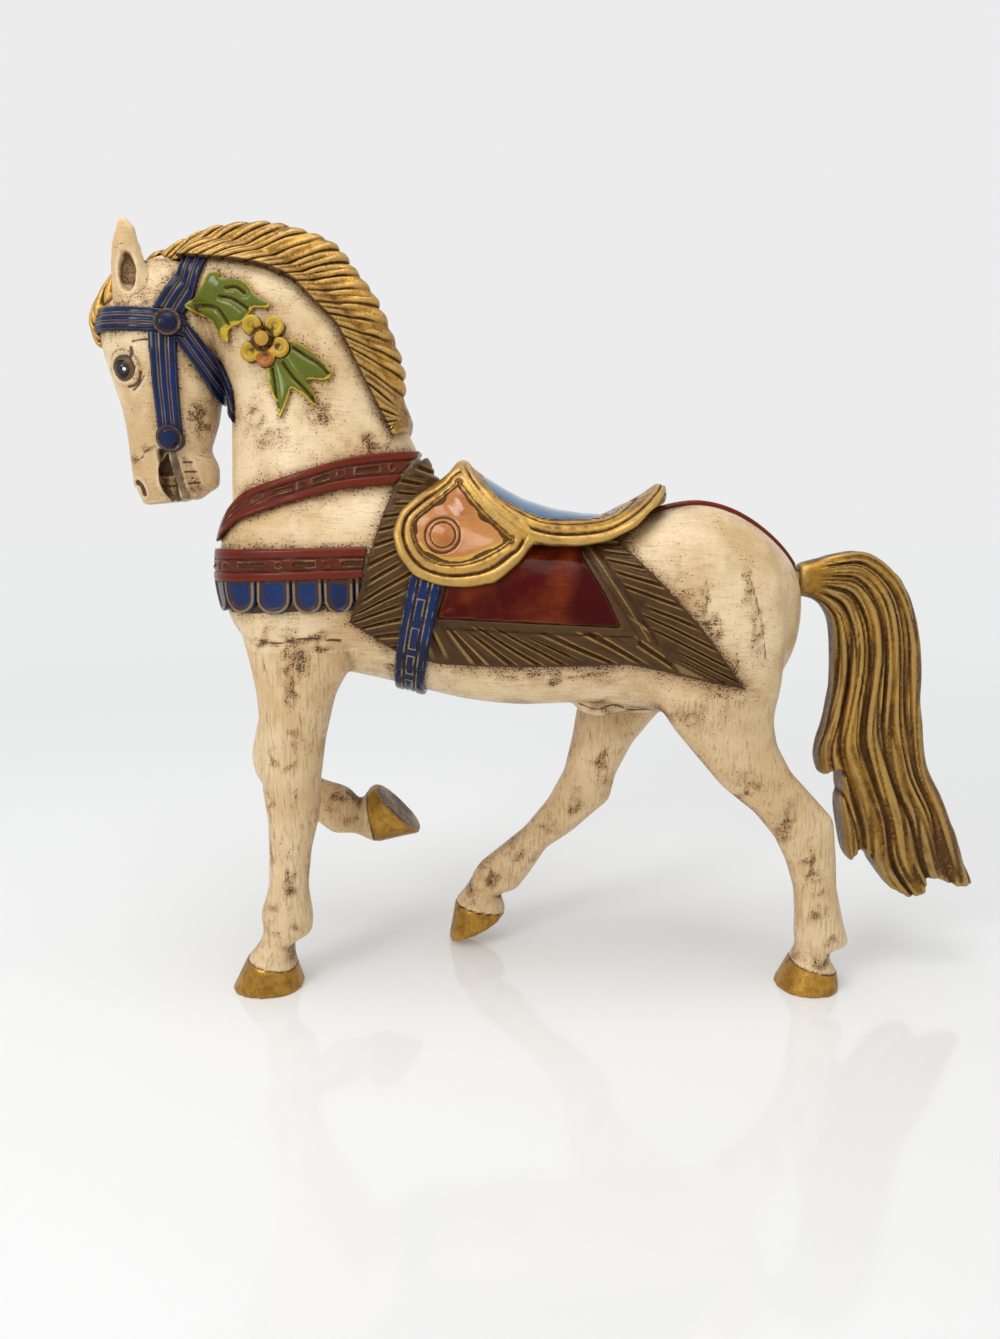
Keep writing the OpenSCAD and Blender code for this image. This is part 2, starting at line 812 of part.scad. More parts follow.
module eyes() {
    color(brown)
        eye_places()
            sphere(r = eye_r, $fn = 48);
}

module bridle_strap(line) {
    intersection() {
        head_shell(0, bridle_depth);
        through_all(line);
    }
}

module browband() {
    color(blue)
        carved()
            difference() {
                bridle_strap(browband_line);
                left_ear_form();
                right_ear_form();
            }
}

module crown_strap() {
    color(blue)
        carved()
            difference() {
                bridle_strap(crown_line);
                through_all(browband_line);
                mane_form();
            }
}

module cheek_straps() {
    color(blue)
        carved()
            difference() {
                bridle_strap(cheek_line);
                through_all(browband_line);
                through_all(throat_line);
            }
}

module throat_strap() {
    color(blue)
        carved()
            difference() {
                bridle_strap(throat_line);
                through_all(browband_line);
                through_all(crown_line);
            }
}

module disc(x, z, r) {
    translate([x, reach, z])
        rotate([90, 0, 0])
            cylinder(h = 2 * reach, r = r, $fn = 32);
}

module rosette(x, z) {
    intersection() {
        head_shell(bridle_depth, bridle_depth + rosette_relief);
        disc(x, z, rosette_r);
    }
}

module upper_rosettes() {
    color(blue)
        carved()
            rosette(upper_rosette[0], upper_rosette[1]);
}

module lower_rosettes() {
    color(blue)
        carved()
            rosette(lower_rosette[0], lower_rosette[1]);
}

module near_side(line) {
    through(line, -reach, 0);
}

module petals() {
    translate([flower_x, 0, flower_z])
        rotate([90, 0, 0])
            for (i = [0:4])
                rotate([0, 0, 72 * i + petal_turn])
                    translate([petal_ring, 0, 0])
                        cylinder(h = reach, r = petal_r, $fn = 20);
}

module flower_form(depth) {
    intersection() {
        head_shell(0, depth);
        petals();
    }
}

module flower_boss_form(r) {
    translate([flower_x, 0, flower_z])
        rotate([90, 0, 0])
            cylinder(h = reach, r = r, $fn = 32);
}

module upper_leaf() {
    color(green)
        carved()
            difference() {
                intersection() {
                    head_shell(0, leaf_depth);
                    near_side(upper_leaf_line);
                }
                petals();
                mane_form();
                through_all(crown_line);
                through_all(throat_line);
                through_all(browband_line);
            }
}

module lower_leaves() {
    color(green)
        carved()
            difference() {
                intersection() {
                    head_shell(0, leaf_depth);
                    near_side(lower_leaf_line);
                }
                petals();
            }
}

module neck_flower() {
    color(gold)
        carved()
            difference() {
                flower_form(leaf_depth + 1);
                flower_boss_form(flower_boss_r);
            }
}

module flower_boss() {
    color(orange)
        carved()
            intersection() {
                head_shell(0, leaf_depth + 2);
                flower_boss_form(flower_boss_r);
            }
}

module upper_breast_strap() {
    color(red)
        carved()
            intersection() {
                body_shell(0, strap_depth);
                through_all(upper_breast_line);
            }
}

module lower_breast_strap() {
    color(red)
        carved()
            difference() {
                intersection() {
                    body_shell(0, strap_depth);
                    through_all(lower_breast_line);
                }
                through_all(blanket_line);
            }
}

module breast_scallops() {
    color(blue)
        carved()
            difference() {
                intersection() {
                    body_shell(0, strap_depth);
                    through_all(scallop_line);
                }
                through_all(blanket_line);
                for (i = [0:scallop_count])
                    translate([scallop_centre_x, 0, scallop_foot_z])
                        rotate([0, 0, 180 + (i - scallop_count / 2) * scallop_span / scallop_count])
                            rotate([0, 90, 0])
                                cylinder(h = reach, r = scallop_notch, $fn = 4);
            }
}

module blanket() {
    color(brown)
        carved()
            difference() {
                intersection() {
                    body_shell(0, blanket_depth);
                    through_all(blanket_line);
                }
                through_all(panel_line);
                through_all(upper_breast_line);
            }
}

module blanket_panels() {
    color(red)
        carved()
            intersection() {
                body_shell(0, blanket_depth);
                through_all(panel_line);
            }
}

module girth_strap() {
    color(blue)
        carved()
            difference() {
                intersection() {
                    union() {
                        intersection() {
                            trunk_form(blanket_depth + strap_depth);
                            through_all(girth_step_line);
                        }
                        trunk_form(strap_depth);
                    }
                    through_all(girth_line);
                }
                trunk_form();
                intersection() {
                    trunk_form(blanket_depth);
                    through_all(blanket_line);
                }
                through_all(flap_line);
            }
}

module saddle_form(t = 0) {
    loft(grown(saddle_rows, t), 26, 0.75, 1);
}

module under_seat() {
    trunk_form(blanket_depth);
    neck_form(blanket_depth);
}

module flap_form(extra = 0) {
    difference() {
        intersection() {
            union() {
                trunk_form(flap_top + extra);
                saddle_form(rim_depth + extra);
            }
            through_all(flap_line);
        }
        under_seat();
        through_all(seat_line);
    }
}

module seat() {
    color(blue)
        carved()
            difference() {
                intersection() {
                    saddle_form();
                    through_all(seat_line);
                }
                under_seat();
            }
}

module seat_rim() {
    color(gold)
        carved()
            difference() {
                intersection() {
                    saddle_form(rim_depth);
                    through_all(seat_line);
                }
                saddle_form();
                through_all(seat_top_line);
                under_seat();
            }
}

module saddle_flaps() {
    color(gold)
        carved()
            difference() {
                flap_form();
                through_all(flap_panel_line);
            }
}

module flap_panels() {
    color(orange)
        carved()
            difference() {
                intersection() {
                    flap_form();
                    through_all(flap_panel_line);
                }
                disc(flap_boss[0], flap_boss[1], flap_boss_r);
            }
}

module flap_bosses() {
    color(orange)
        carved()
            intersection() {
                flap_form(panel_relief);
                disc(flap_boss[0], flap_boss[1], flap_boss_r);
            }
}

module crupper_strap() {
    color(red)
        carved()
            difference() {
                intersection() {
                    body_shell(0, strap_depth);
                    translate([crupper_x, -crupper_half, crupper_foot_z])
                        cube([tail_x - 1 - crupper_x, 2 * crupper_half, reach]);
                }
                through_all(blanket_line);
                through_all(seat_line);
                translate([tail_x - 1.5 * tail_peg_r, 0, tail_z])
                    rotate([0, 90, 0])
                        cylinder(h = 5 * tail_peg_r, r = 2.5 * tail_peg_r, $fn = 32);
                translate([peg_start - 1, 0, tail_z])
                    rotate([0, 90, 0])
                        cylinder(h = tail_peg_reach, r = socket_r, $fn = 32);
            }
}

module tail() {
    color(gold)
        difference() {
            carved()
                difference() {
                    intersection() {
                        skin(
                            [for (i = [0:2 * len(tail_rows) - 2])
                                strands(eased(tail_rows, 2)[i], i / 2, strand_cut)],
                            side(tail_rows) > 0);
                        through_all(tail_line);
                    }
                    translate([tail_x - 20 + tail_gap, -reach, tail_z - reach])
                        cube([20, 2 * reach, 2 * reach]);
                }
            translate([tail_x - 1, 0, tail_z])
                rotate([0, 90, 0])
                    cylinder(h = tail_gap + tail_peg_hold + 1, r = tail_peg_r, $fn = 64);
        }
}

module tail_peg() {
    color(wood)
        translate([peg_start, 0, tail_z])
            rotate([0, 90, 0])
                cylinder(h = peg_len, r = tail_peg_r, $fn = 64);
}

torso();
neck();
head();
left_ear();
right_ear();
left_foreleg();
right_forearm();
right_cannon();
left_hind_leg();
right_hind_leg();
leg_dowels();
neck_dowels();
knee_dowel();
mane();
forelock();
eyes();
browband();
crown_strap();
cheek_straps();
throat_strap();
upper_rosettes();
lower_rosettes();
upper_leaf();
lower_leaves();
neck_flower();
flower_boss();
upper_breast_strap();
lower_breast_strap();
breast_scallops();
blanket();
blanket_panels();
girth_strap();
seat();
seat_rim();
saddle_flaps();
flap_panels();
flap_bosses();
crupper_strap();
tail();
tail_peg();
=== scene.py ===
"""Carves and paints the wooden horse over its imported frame."""
import math

import bmesh
import bpy
import numpy as np
from mathutils import Matrix, Vector


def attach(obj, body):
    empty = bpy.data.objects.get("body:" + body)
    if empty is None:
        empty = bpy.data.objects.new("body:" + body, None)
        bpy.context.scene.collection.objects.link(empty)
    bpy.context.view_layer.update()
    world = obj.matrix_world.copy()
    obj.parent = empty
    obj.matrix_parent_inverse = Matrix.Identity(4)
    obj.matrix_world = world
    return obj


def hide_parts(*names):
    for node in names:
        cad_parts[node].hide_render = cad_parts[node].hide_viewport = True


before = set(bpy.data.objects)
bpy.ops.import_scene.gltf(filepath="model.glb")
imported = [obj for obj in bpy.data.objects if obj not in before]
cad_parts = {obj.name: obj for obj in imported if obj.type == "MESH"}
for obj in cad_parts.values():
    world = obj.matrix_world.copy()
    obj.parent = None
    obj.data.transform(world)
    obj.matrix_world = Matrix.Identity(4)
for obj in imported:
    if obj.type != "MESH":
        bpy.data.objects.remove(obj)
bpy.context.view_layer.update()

bl_info = {
    "name": "Carved Horse Dressing",
    "version": (1, 0, 0),
    "blender": (4, 5, 0),
    "location": "View3D > Sidebar > Carved Horse",
    "description": "Carves and paints a wooden horse over its packed frame",
    "category": "Object",
}

MM = 0.001
FIGURE = "figure"
TAIL = "tail"

# Named places and sizes in millimetres, [x, z] where there are two.
EYE = (-184.5, 278.5)
FLAP_BOSS = (-47, 208)
FLAP_BOSS_SIZE = 5.3
PEG_HEIGHT = 186.5
BREAST_CENTRE = -95
SCALLOP_ANGLE = 208 / 12
SCALLOP_ROUND_FROM = 181.0
SCALLOP_DROP = 6.6
FAR_AWAY = 1e9
# A distance in millimetres at which no groove shows.
CLEAR = 9

# Side outlines [x, z] in millimetres, as the part's own source has them.
HEAD_SIDE = [(-230, 370), (-150, 370), (-152, 332), (-158, 318), (-142, 270), (-147, 258),
             (-148.5, 246), (-146.3, 240), (-146.3, 234), (-150, 218), (-230, 210)]
ABOVE_NECK_BASE = [(-240, 204), (-155, 209), (-50, 240), (-30, 250), (-30, 370), (-240, 370)]
CROWN_LINE = [(-171, 303), (-160, 323), (-156, 345), (-140, 345), (-149, 321), (-158, 301)]
BROWBAND_LINE = [(-215, 306), (-166, 303), (-157, 300), (-158, 291), (-167, 293), (-215, 295)]
CHEEK_LINE = [(-173, 300), (-161, 300), (-161, 278), (-162, 247), (-172, 247), (-172, 278)]
THROAT_LINE = [(-162, 300), (-157.5, 298), (-152, 291), (-145, 280), (-140.5, 270),
               (-140, 256), (-146, 262), (-150, 270), (-155, 280), (-163, 292)]
UPPER_LEAF_LINE = [(-158, 304.5), (-152.8, 309.2), (-149.1, 313.6), (-146.4, 317.7),
                   (-142.4, 318.4), (-141.2, 315.6), (-133.3, 315.2), (-129.8, 313),
                   (-127.7, 309.9), (-124.3, 307.1), (-120.7, 305.2), (-121.7, 303),
                   (-127.5, 303), (-129, 301), (-133, 297), (-139, 294.5), (-140, 289.2),
                   (-143.6, 291.6), (-147, 298), (-152.5, 301.3)]
LOWER_LEAF_LINE = [(-121.5, 281), (-122.4, 273.5), (-120.6, 267.8), (-118, 261.5),
                   (-117.2, 257), (-115, 260.8), (-112.7, 266.4), (-111.8, 269.4),
                   (-106.5, 266.5), (-102, 262.3), (-100.6, 263.5), (-102.4, 268.5),
                   (-104.6, 273), (-97.5, 273), (-94, 275.6), (-97.2, 280), (-103, 285),
                   (-109, 288.8), (-113, 289)]
FLOWER = (-124, 290)
FLOWER_MIDDLE = 4.8
PETAL_SIZE = 4.5
PETALS = [(-128.2, 295.6), (-118.4, 295), (-116.3, 286.2), (-122.6, 282.3), (-129.4, 284.6)]
UPPER_BREAST_LINE = [(-59, 244), (-85, 241), (-109, 234), (-134, 226), (-146, 215),
                     (-158, 213), (-158, 204), (-147, 205), (-135, 214), (-111, 222),
                     (-90, 227), (-69, 229)]
LOWER_BREAST_LINE = [(-79, 203), (-158, 201), (-158, 187), (-81, 190)]
SCALLOP_LINE = [(-81, 190), (-158, 187), (-158, 173), (-84, 176)]
BLANKET_LINE = [(-56, 252), (-56, 242), (-68, 229), (-72, 218), (-76, 205), (-81, 187),
                (-87, 171), (-69, 159), (-50, 153), (-29, 152), (-1, 152), (32, 153),
                (81, 143), (62, 169), (45, 188), (28.5, 204.5), (46, 222), (46, 252)]
PANEL_LINE = [(-50, 173), (28, 169), (22, 182), (12, 199), (12, 214), (-46, 214), (-46, 185)]
GIRTH_LINE = [(-60, 191), (-47, 189), (-57, 141), (-58, 110), (-72, 110), (-70, 144)]
FLAP_LINE = [(-42, 244), (-45, 235), (-57, 226), (-65, 218), (-68, 209), (-66, 200),
             (-59, 191), (-49, 187), (-38, 186), (-25, 188), (-15, 196), (-9.5, 203),
             (-6, 206), (-12, 214), (-25, 226), (-36, 244)]
FLAP_PANEL_LINE = [(-41, 229), (-54, 218), (-59, 212), (-56, 202), (-48, 197), (-37, 197),
                   (-25, 202), (-19, 206), (-30, 216)]
SEAT_LINE = [(-44, 260), (-41, 238), (-38, 231), (-27, 218), (-16, 208), (-10, 204),
             (-1, 203), (11, 203), (23, 205), (35, 211), (44, 219), (60, 224), (60, 260)]
SEAT_TOP_LINE = [(-31, 260), (-37, 238), (-30, 229), (-21, 222), (-9, 216), (-1, 214),
                 (15, 214), (27, 217), (40, 226), (46, 229), (46, 260)]
SPINE = [(70, 172), (20, 172), (-40, 176), (-95, 190), (-112, 215), (-112, 250), (-122, 285),
         (-150, 305), (-170, 290), (-172, 262), (-168, 232)]

# Stations across the streaming forms: [x, z of one edge, x, z of the other edge].
CREST_STATIONS = [(-185, 325, -179, 315), (-175, 329.5, -170, 319), (-161, 335.5, -158, 320),
                  (-147, 341, -147, 320), (-126, 343, -128, 318), (-110, 340, -116, 314),
                  (-95, 334, -107, 306), (-86, 323, -100, 298), (-77, 311, -93, 290),
                  (-70, 295, -86, 276), (-65, 279, -80, 262), (-65.5, 265, -76, 254),
                  (-69, 255, -76, 250)]
MANE_EDGE = [(-172, 325), (-158, 325), (-146, 324), (-127, 322), (-113, 317), (-103, 307),
             (-94, 298), (-87, 285), (-78, 267), (-72, 255), (-70, 250)]
LOCKS = 24
FORELOCK_STATIONS = [(-168, 335, -164, 322), (-180, 331, -175, 315), (-192, 322, -184, 308),
                     (-202, 308, -191, 300), (-204.5, 299, -193, 295), (-202, 290, -194, 289)]
TAIL_STATIONS = [(113.8, 194, 113.8, 179), (121, 196, 120, 178), (131, 199, 126, 174),
                 (146, 200, 130, 166), (161.5, 188, 131, 152), (170, 168, 131, 136),
                 (174, 146, 128, 118), (176.5, 122, 125, 102), (180, 98, 131, 84),
                 (191, 79, 136, 66), (201, 56, 142, 48), (207, 38, 160, 30)]
# The fringe's cuts, [x, z of one end, x, z of the other end].
FRONT_CUTS = [(-90, 160, -58, 160), (-87, 166, -60, 171), (-85, 172, -61, 181),
              (-83, 178, -62, 190), (-80, 190, -64, 199), (-77, 203, -66, 207),
              (-74, 213, -65, 215), (-70, 222, -61, 222), (-67, 230, -57, 228),
              (-58, 240, -46, 235), (-58, 252, -40, 243)]
LOW_CUTS = [(-66, 171, -64, 150), (-50.2, 171, -40.3, 151), (-42.6, 171, -19, 151),
            (-35.2, 171, -2.8, 151), (-20, 168, 12.3, 151), (-8, 166.3, 27, 151),
            (12, 169.3, 43, 151), (33, 169, 64.5, 146), (52, 167, 84, 143)]
REAR_CUTS = [(17, 208, 36, 209), (17, 203.5, 37, 202), (20, 200, 41, 196.5),
             (23, 195, 46, 189), (27, 188.5, 51, 180), (31, 181, 58, 170),
             (35, 175, 66, 160), (39, 168, 75, 150), (44, 161, 84, 141)]
UPPER_BREAST_STATIONS = [(-52, 245, -60, 230), (-85, 241, -90, 227), (-109, 234, -111, 222),
                         (-134, 226, -135, 214), (-146, 215, -147, 205),
                         (-160, 212, -160, 203)]
LOWER_BREAST_STATIONS = [(-70, 203, -72, 190), (-160, 201, -160, 187)]
GIRTH_STATIONS = [(-60, 196, -46, 194), (-70, 144, -57, 141), (-72, 110, -58, 110)]
CROWN_STATIONS = [(-173, 299, -160, 297), (-171, 303, -158, 301), (-160, 323, -149, 321),
                  (-156, 345, -140, 345)]
BROWBAND_STATIONS = [(-215, 306, -215, 295), (-166, 303, -167, 293), (-157, 300, -158, 291)]
CHEEK_STATIONS = [(-172.5, 302, -161, 302), (-172, 278, -161, 278), (-172, 240, -162, 240)]
THROAT_STATIONS = [(-167, 297, -158.5, 303), (-156, 281, -149, 287), (-150.5, 271, -143, 276),
                   (-146, 261, -138, 264)]
RIM_STATIONS = [(-45, 240, -35, 243), (-38, 231, -30, 229), (-27, 218, -21, 222),
                (-16, 208, -9, 216), (-1, 203, -1, 214), (11, 203, 15, 214),
                (23, 205, 27, 217), (35, 211, 40, 226), (46, 221, 47, 232)]


def pick(name, default, description):
    """One colour property."""
    return bpy.props.FloatVectorProperty(
        name=name, description=description, subtype="COLOR", size=3, min=0, max=1,
        default=default)


def length(name, default, description):
    """One length property, in metres."""
    return bpy.props.FloatProperty(
        name=name, description=description, unit="LENGTH", default=default, min=0.0001)


class HORSE_PG_paint(bpy.types.PropertyGroup):
    """Colours of the paints."""
    ivory: pick("Ivory", (0.65, 0.44, 0.22), "Body paint")
    # Cream is also laid on raised points as a painted highlight.
    cream: pick("Cream", (0.87, 0.69, 0.43), "Rubbed, paler body paint")
    tan: pick("Tan", (0.36, 0.19, 0.07), "Thin wash over the body paint")
    # The wash also darkens sunk points as painted shade.
    wash: pick("Wash", (0.07, 0.027, 0.009), "Brown wash left in the cuts")
    gold: pick("Gold", (0.5, 0.265, 0.035), "Gold paint on raised cuts")
    # Old gold also carries painted shade on the mane and tail.
    old_gold: pick("Old gold", (0.17, 0.07, 0.01), "Gold paint dulled by the wash")
    blue: pick("Blue", (0.006, 0.022, 0.115), "Bridle, girth and scallops")
    navy: pick("Navy", (0.003, 0.006, 0.024), "Blue paint darkened by the wash")
    seat: pick("Seat blue", (0.035, 0.09, 0.2), "Saddle seat")
    red: pick("Red", (0.12, 0.008, 0.003), "Breast straps and crupper")
    crimson: pick("Crimson", (0.065, 0.0015, 0.001), "Blanket panel")
    ember: pick("Ember", (0.21, 0.035, 0.006), "Rubbed patches on the blanket panel")
    brown: pick("Brown", (0.045, 0.02, 0.007), "Blanket fringe")
    # Rubbed brown is also laid on raised points as a painted highlight.
    rubbed: pick("Rubbed brown", (0.5, 0.31, 0.09), "High points of the fringe")
    green: pick("Green", (0.1, 0.12, 0.007), "Leaves")
    yellow: pick("Yellow", (0.58, 0.4, 0.035), "Leaf edges and flower")
    orange: pick("Orange", (0.4, 0.12, 0.018), "Saddle flap panels")
    bare: pick("Bare wood", (0.5, 0.33, 0.17), "Dowels and peg")


class HORSE_PG_carving(bpy.types.PropertyGroup):
    """Sizes of the carving."""
    wood_grid: length("Wood grid", 0.00095, "Point spacing on the large blocks")
    head_grid: length("Head grid", 0.0006, "Point spacing on the head and neck")
    trim_grid: length("Trim grid", 0.00045, "Point spacing on straps and ornaments")
    saddle_grid: length("Saddle grid", 0.0006, "Point spacing on the saddle")
    hair_grid: length("Hair grid", 0.0006, "Point spacing on the mane and forelock")
    tail_grid: length("Tail grid", 0.0008, "Point spacing on the tail")
    lock_relief: length("Lock relief", 0.0011, "Height of the mane's locks")
    tail_relief: length("Tail relief", 0.0015, "Height of the tail's locks")
    sink: length("Sink", 0.0004, "Depth to which a glued trim sinks into the paint below")


class HORSE_PG_stage(bpy.types.PropertyGroup):
    """Camera and light."""
    camera_x: bpy.props.FloatProperty(
        name="Camera X", description="Sideways place of the camera", unit="LENGTH",
        default=-0.023)
    camera_back: length("Camera distance", 0.465, "Camera to the horse's middle plane")
    camera_height: length("Camera height", 0.218, "Camera above the floor")
    camera_pitch: bpy.props.FloatProperty(
        name="Camera pitch", description="Downward tilt of the camera", subtype="ANGLE",
        default=math.radians(9))
    lens: bpy.props.FloatProperty(
        name="Lens", description="Focal length in millimetres", default=27.0, min=10)
    sky: bpy.props.FloatProperty(
        name="Room light", description="Strength of the white room", default=0.5, min=0)
    top: bpy.props.FloatProperty(
        name="Top light", description="Power of the overhead softbox", default=6.4,
        unit="POWER", min=0)
    key: bpy.props.FloatProperty(
        name="Key light", description="Power of the front softbox", default=5.0,
        unit="POWER", min=0)


# ---------------------------------------------------------------- mesh tools

def add_object(name, mesh):
    """A new object in the scene."""
    obj = bpy.data.objects.new(name, mesh)
    bpy.context.scene.collection.objects.link(obj)
    return obj


def drop(obj):
    """Removes a helper object and its mesh."""
    mesh = obj.data
    bpy.data.objects.remove(obj)
    bpy.data.meshes.remove(mesh)


def mesh_from(bm, name):
    """An object made from a bmesh, which is freed."""
    mesh = bpy.data.meshes.new(name)
    bm.to_mesh(mesh)
    bm.free()
    return add_object(name, mesh)


def merged_copy(nodes, name, plugs=()):
    """One object with merged copies of CAD nodes, its glue holes plugged."""
    bm = bmesh.new()
    for node in nodes:
        bm.from_mesh(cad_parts[node].data)
    bmesh.ops.remove_doubles(bm, verts=bm.verts, dist=1e-6)
    for start, end, radius in plugs:
        a, b = Vector(start) * MM, Vector(end) * MM
        turn = (b - a).to_track_quat("Z", "Y").to_matrix().to_4x4()
        bmesh.ops.create_cone(
            bm, cap_ends=True, segments=32, radius1=radius * MM, radius2=radius * MM,
            depth=(b - a).length, matrix=Matrix.Translation((a + b) / 2) @ turn)
    return mesh_from(bm, name)


def bake_modifiers(obj):
    """Applies all the modifiers of an object."""
    graph = bpy.context.evaluated_depsgraph_get()
    mesh = bpy.data.meshes.new_from_object(obj.evaluated_get(graph))
    obj.modifiers.clear()
    old = obj.data
    obj.data = mesh
    bpy.data.meshes.remove(old)
    return obj


def regrid(obj, spacing):
    """Rebuilds an object as one closed skin of even squares."""
    voxels = obj.modifiers.new("Voxels", "REMESH")
    voxels.mode = "VOXEL"
    voxels.voxel_size = spacing
    return bake_modifiers(obj)


def duplicate(obj, name):
    """A copy with a mesh of its own."""
    return add_object(name, obj.data.copy())


def prism(line, name="prism", y0=-90.0, y1=90.0):
    """A side outline drawn straight through from y0 to y1."""
    bm = bmesh.new()
    face = bm.faces.new([bm.verts.new((x * MM, y0 * MM, z * MM)) for x, z in line])
    made = bmesh.ops.extrude_face_region(bm, geom=[face])
    moved = [v for v in made["geom"] if isinstance(v, bmesh.types.BMVert)]
    bmesh.ops.translate(bm, verts=moved, vec=(0, (y1 - y0) * MM, 0))
    bmesh.ops.recalc_face_normals(bm, faces=bm.faces)
    return mesh_from(bm, name)


def box_cutter(x0, x1, y0, y1, z0, z1):
    """A block between two corners."""
    bm = bmesh.new()
    size = Matrix.Diagonal(((x1 - x0) * MM, (y1 - y0) * MM, (z1 - z0) * MM, 1))
    middle = Vector(((x0 + x1) / 2, (y0 + y1) / 2, (z0 + z1) / 2)) * MM
    bmesh.ops.create_cube(bm, size=1, matrix=Matrix.Translation(middle) @ size)
    return mesh_from(bm, "block")


def disc_cutter(x, z, radius):
    """A round cutter straight through from side to side."""
    bm = bmesh.new()
    turn = Matrix.Translation((x * MM, 0, z * MM)) @ Matrix.Rotation(math.pi / 2, 4, "X")
    bmesh.ops.create_cone(
        bm, cap_ends=True, segments=64, radius1=radius * MM, radius2=radius * MM,
        depth=0.18, matrix=turn)
    return mesh_from(bm, "disc")


def bore_cutter(x, radius, depth):
    """A round cutter along X, centred on the tail's peg."""
    bm = bmesh.new()
    turn = Matrix.Translation(Vector((x, 0, PEG_HEIGHT)) * MM) @ Matrix.Rotation(
        math.pi / 2, 4, "Y")
    bmesh.ops.create_cone(
        bm, cap_ends=True, segments=64, radius1=radius * MM, radius2=radius * MM,
        depth=depth * MM, matrix=turn)
    return mesh_from(bm, "bore")


def ball_cutter(place, radius):
    """A ball, for the eye sockets."""
    bm = bmesh.new()
    bmesh.ops.create_uvsphere(bm, u_segments=48, v_segments=24, radius=radius * MM,
                              matrix=Matrix.Translation(Vector(place) * MM))
    return mesh_from(bm, "socket")


def ring_line(x, z, radius, steps):
    """A round outline of a number of points."""
    return [(x + radius * math.cos(a * math.tau / steps),
             z + radius * math.sin(a * math.tau / steps)) for a in range(steps)]


def cut(obj, cutter, operation):
    """Joins, keeps or removes what a cutter covers, and then removes the cutter."""
    tool = obj.modifiers.new("Cut", "BOOLEAN")
    tool.operation = operation
    tool.solver = "MANIFOLD"
    tool.object = cutter
    bake_modifiers(obj)
    drop(cutter)
    if len(obj.data.polygons) == 0:
        raise RuntimeError("nothing was left of " + obj.name)
    return obj


def get_points(mesh):
    """Point places in millimetres."""
    flat = np.zeros(len(mesh.vertices) * 3, np.float32)
    mesh.vertices.foreach_get("co", flat)
    return flat.reshape(-1, 3).astype(float) / MM


def set_points(mesh, places):
    """Writes point places in millimetres."""
    mesh.vertices.foreach_set("co", (places * MM).astype(np.float32).ravel())
    mesh.update()


def get_normals(mesh):
    """Point normals."""
    flat = np.zeros(len(mesh.vertices) * 3, np.float32)
    mesh.vertex_normals.foreach_get("vector", flat)
    return flat.reshape(-1, 3).astype(float)


def get_pairs(mesh):
    """The two points of each edge."""
    flat = np.zeros(len(mesh.edges) * 2, np.int32)
    mesh.edges.foreach_get("vertices", flat)
    return flat.reshape(-1, 2)


def spread(values, pairs, rounds, share):
    """Blends each point's values with those of its neighbours."""
    a, b = pairs[:, 0], pairs[:, 1]
    n = len(values)
    valence = np.maximum(np.bincount(a, minlength=n) + np.bincount(b, minlength=n), 1)
    out = values.copy()
    weight = share if np.isscalar(share) else share[:, None]
    for _ in range(rounds):
        total = np.stack([np.bincount(a, out[b, k], n) + np.bincount(b, out[a, k], n)
                          for k in range(out.shape[1])], 1)
        out += weight * (total / valence[:, None] - out)
    return out


def sand(obj, rounds, share=0.8):
    """Sands facets off a skin and then puts back the size that it lost."""
    places = get_points(obj.data)
    pairs = get_pairs(obj.data)
    smooth = spread(places, pairs, rounds, share)
    set_points(obj.data, smooth + spread(places - smooth, pairs, rounds, share))
    return obj


def grow(obj, distance):
    """Moves a skin outwards along its normals, in millimetres."""
    set_points(obj.data, get_points(obj.data) + get_normals(obj.data) * distance)
    return obj


# ------------------------------------------------------------ pattern tools

def ease(values, low, high):
    """0 below low, 1 above high and a smooth step between."""
    t = np.clip((values - low) / (high - low), 0, 1)
    return t * t * (3 - 2 * t)


def ridge(values, width):
    """1 on zero, falling off over a width."""
    return np.exp(-(values / width) ** 2)


def smooth_line(points, steps=6, closed=False):
    """A curve through points, as a finer row of points."""
    p = np.array(points, float)
    n = len(p)
    count = n if closed else n - 1
    out = []
    for i in range(count):
        near = [p[j % n] if closed else p[min(max(j, 0), n - 1)] for j in range(i - 1, i + 3)]
        a, b, c, d = near
        for k in range(steps):
            t = k / steps
            out.append((2 * b + (c - a) * t + (2 * a - 5 * b + 4 * c - d) * t * t
                        + (3 * b - a - 3 * c + d) * t ** 3) / 2)
    out.append(p[0] if closed else p[-1])
    return np.array(out)


def curved(line, corners):
    """A closed outline drawn as curves that are sharp at its corners."""
    points = [p for i, p in enumerate(line) for _ in range(2 if i in corners else 1)]
    out = []
    for point in smooth_line(points, 4, True)[:-1]:
        if not out or np.abs(point - out[-1]).max() > 0.001:
            out.append(point)
    return [tuple(point) for point in out]


FLAP_CURVE = curved(FLAP_LINE, (0, 12, 15))
FLAP_PANEL_CURVE = curved(FLAP_PANEL_LINE, (0, 7))
SEAT_CURVE = curved(SEAT_LINE, (0, 12))
SEAT_TOP_CURVE = curved(SEAT_TOP_LINE, (0, 10))


def off_line(line, flat):
    """Distance of [x, z] points from a row of points."""
    line = np.array(line, float)
    best = np.full(len(flat), FAR_AWAY)
    for a, b in zip(line[:-1], line[1:]):
        step = b - a
        t = np.clip((flat - a) @ step / max(step @ step, 1e-9), 0, 1)
        gap = flat - a - t[:, None] * step
        best = np.minimum(best, np.hypot(gap[:, 0], gap[:, 1]))
    return best


def off_curve(points, flat, steps=6):
    """Distance of [x, z] points from a curve through a row of points."""
    return off_line(smooth_line(points, steps), flat)


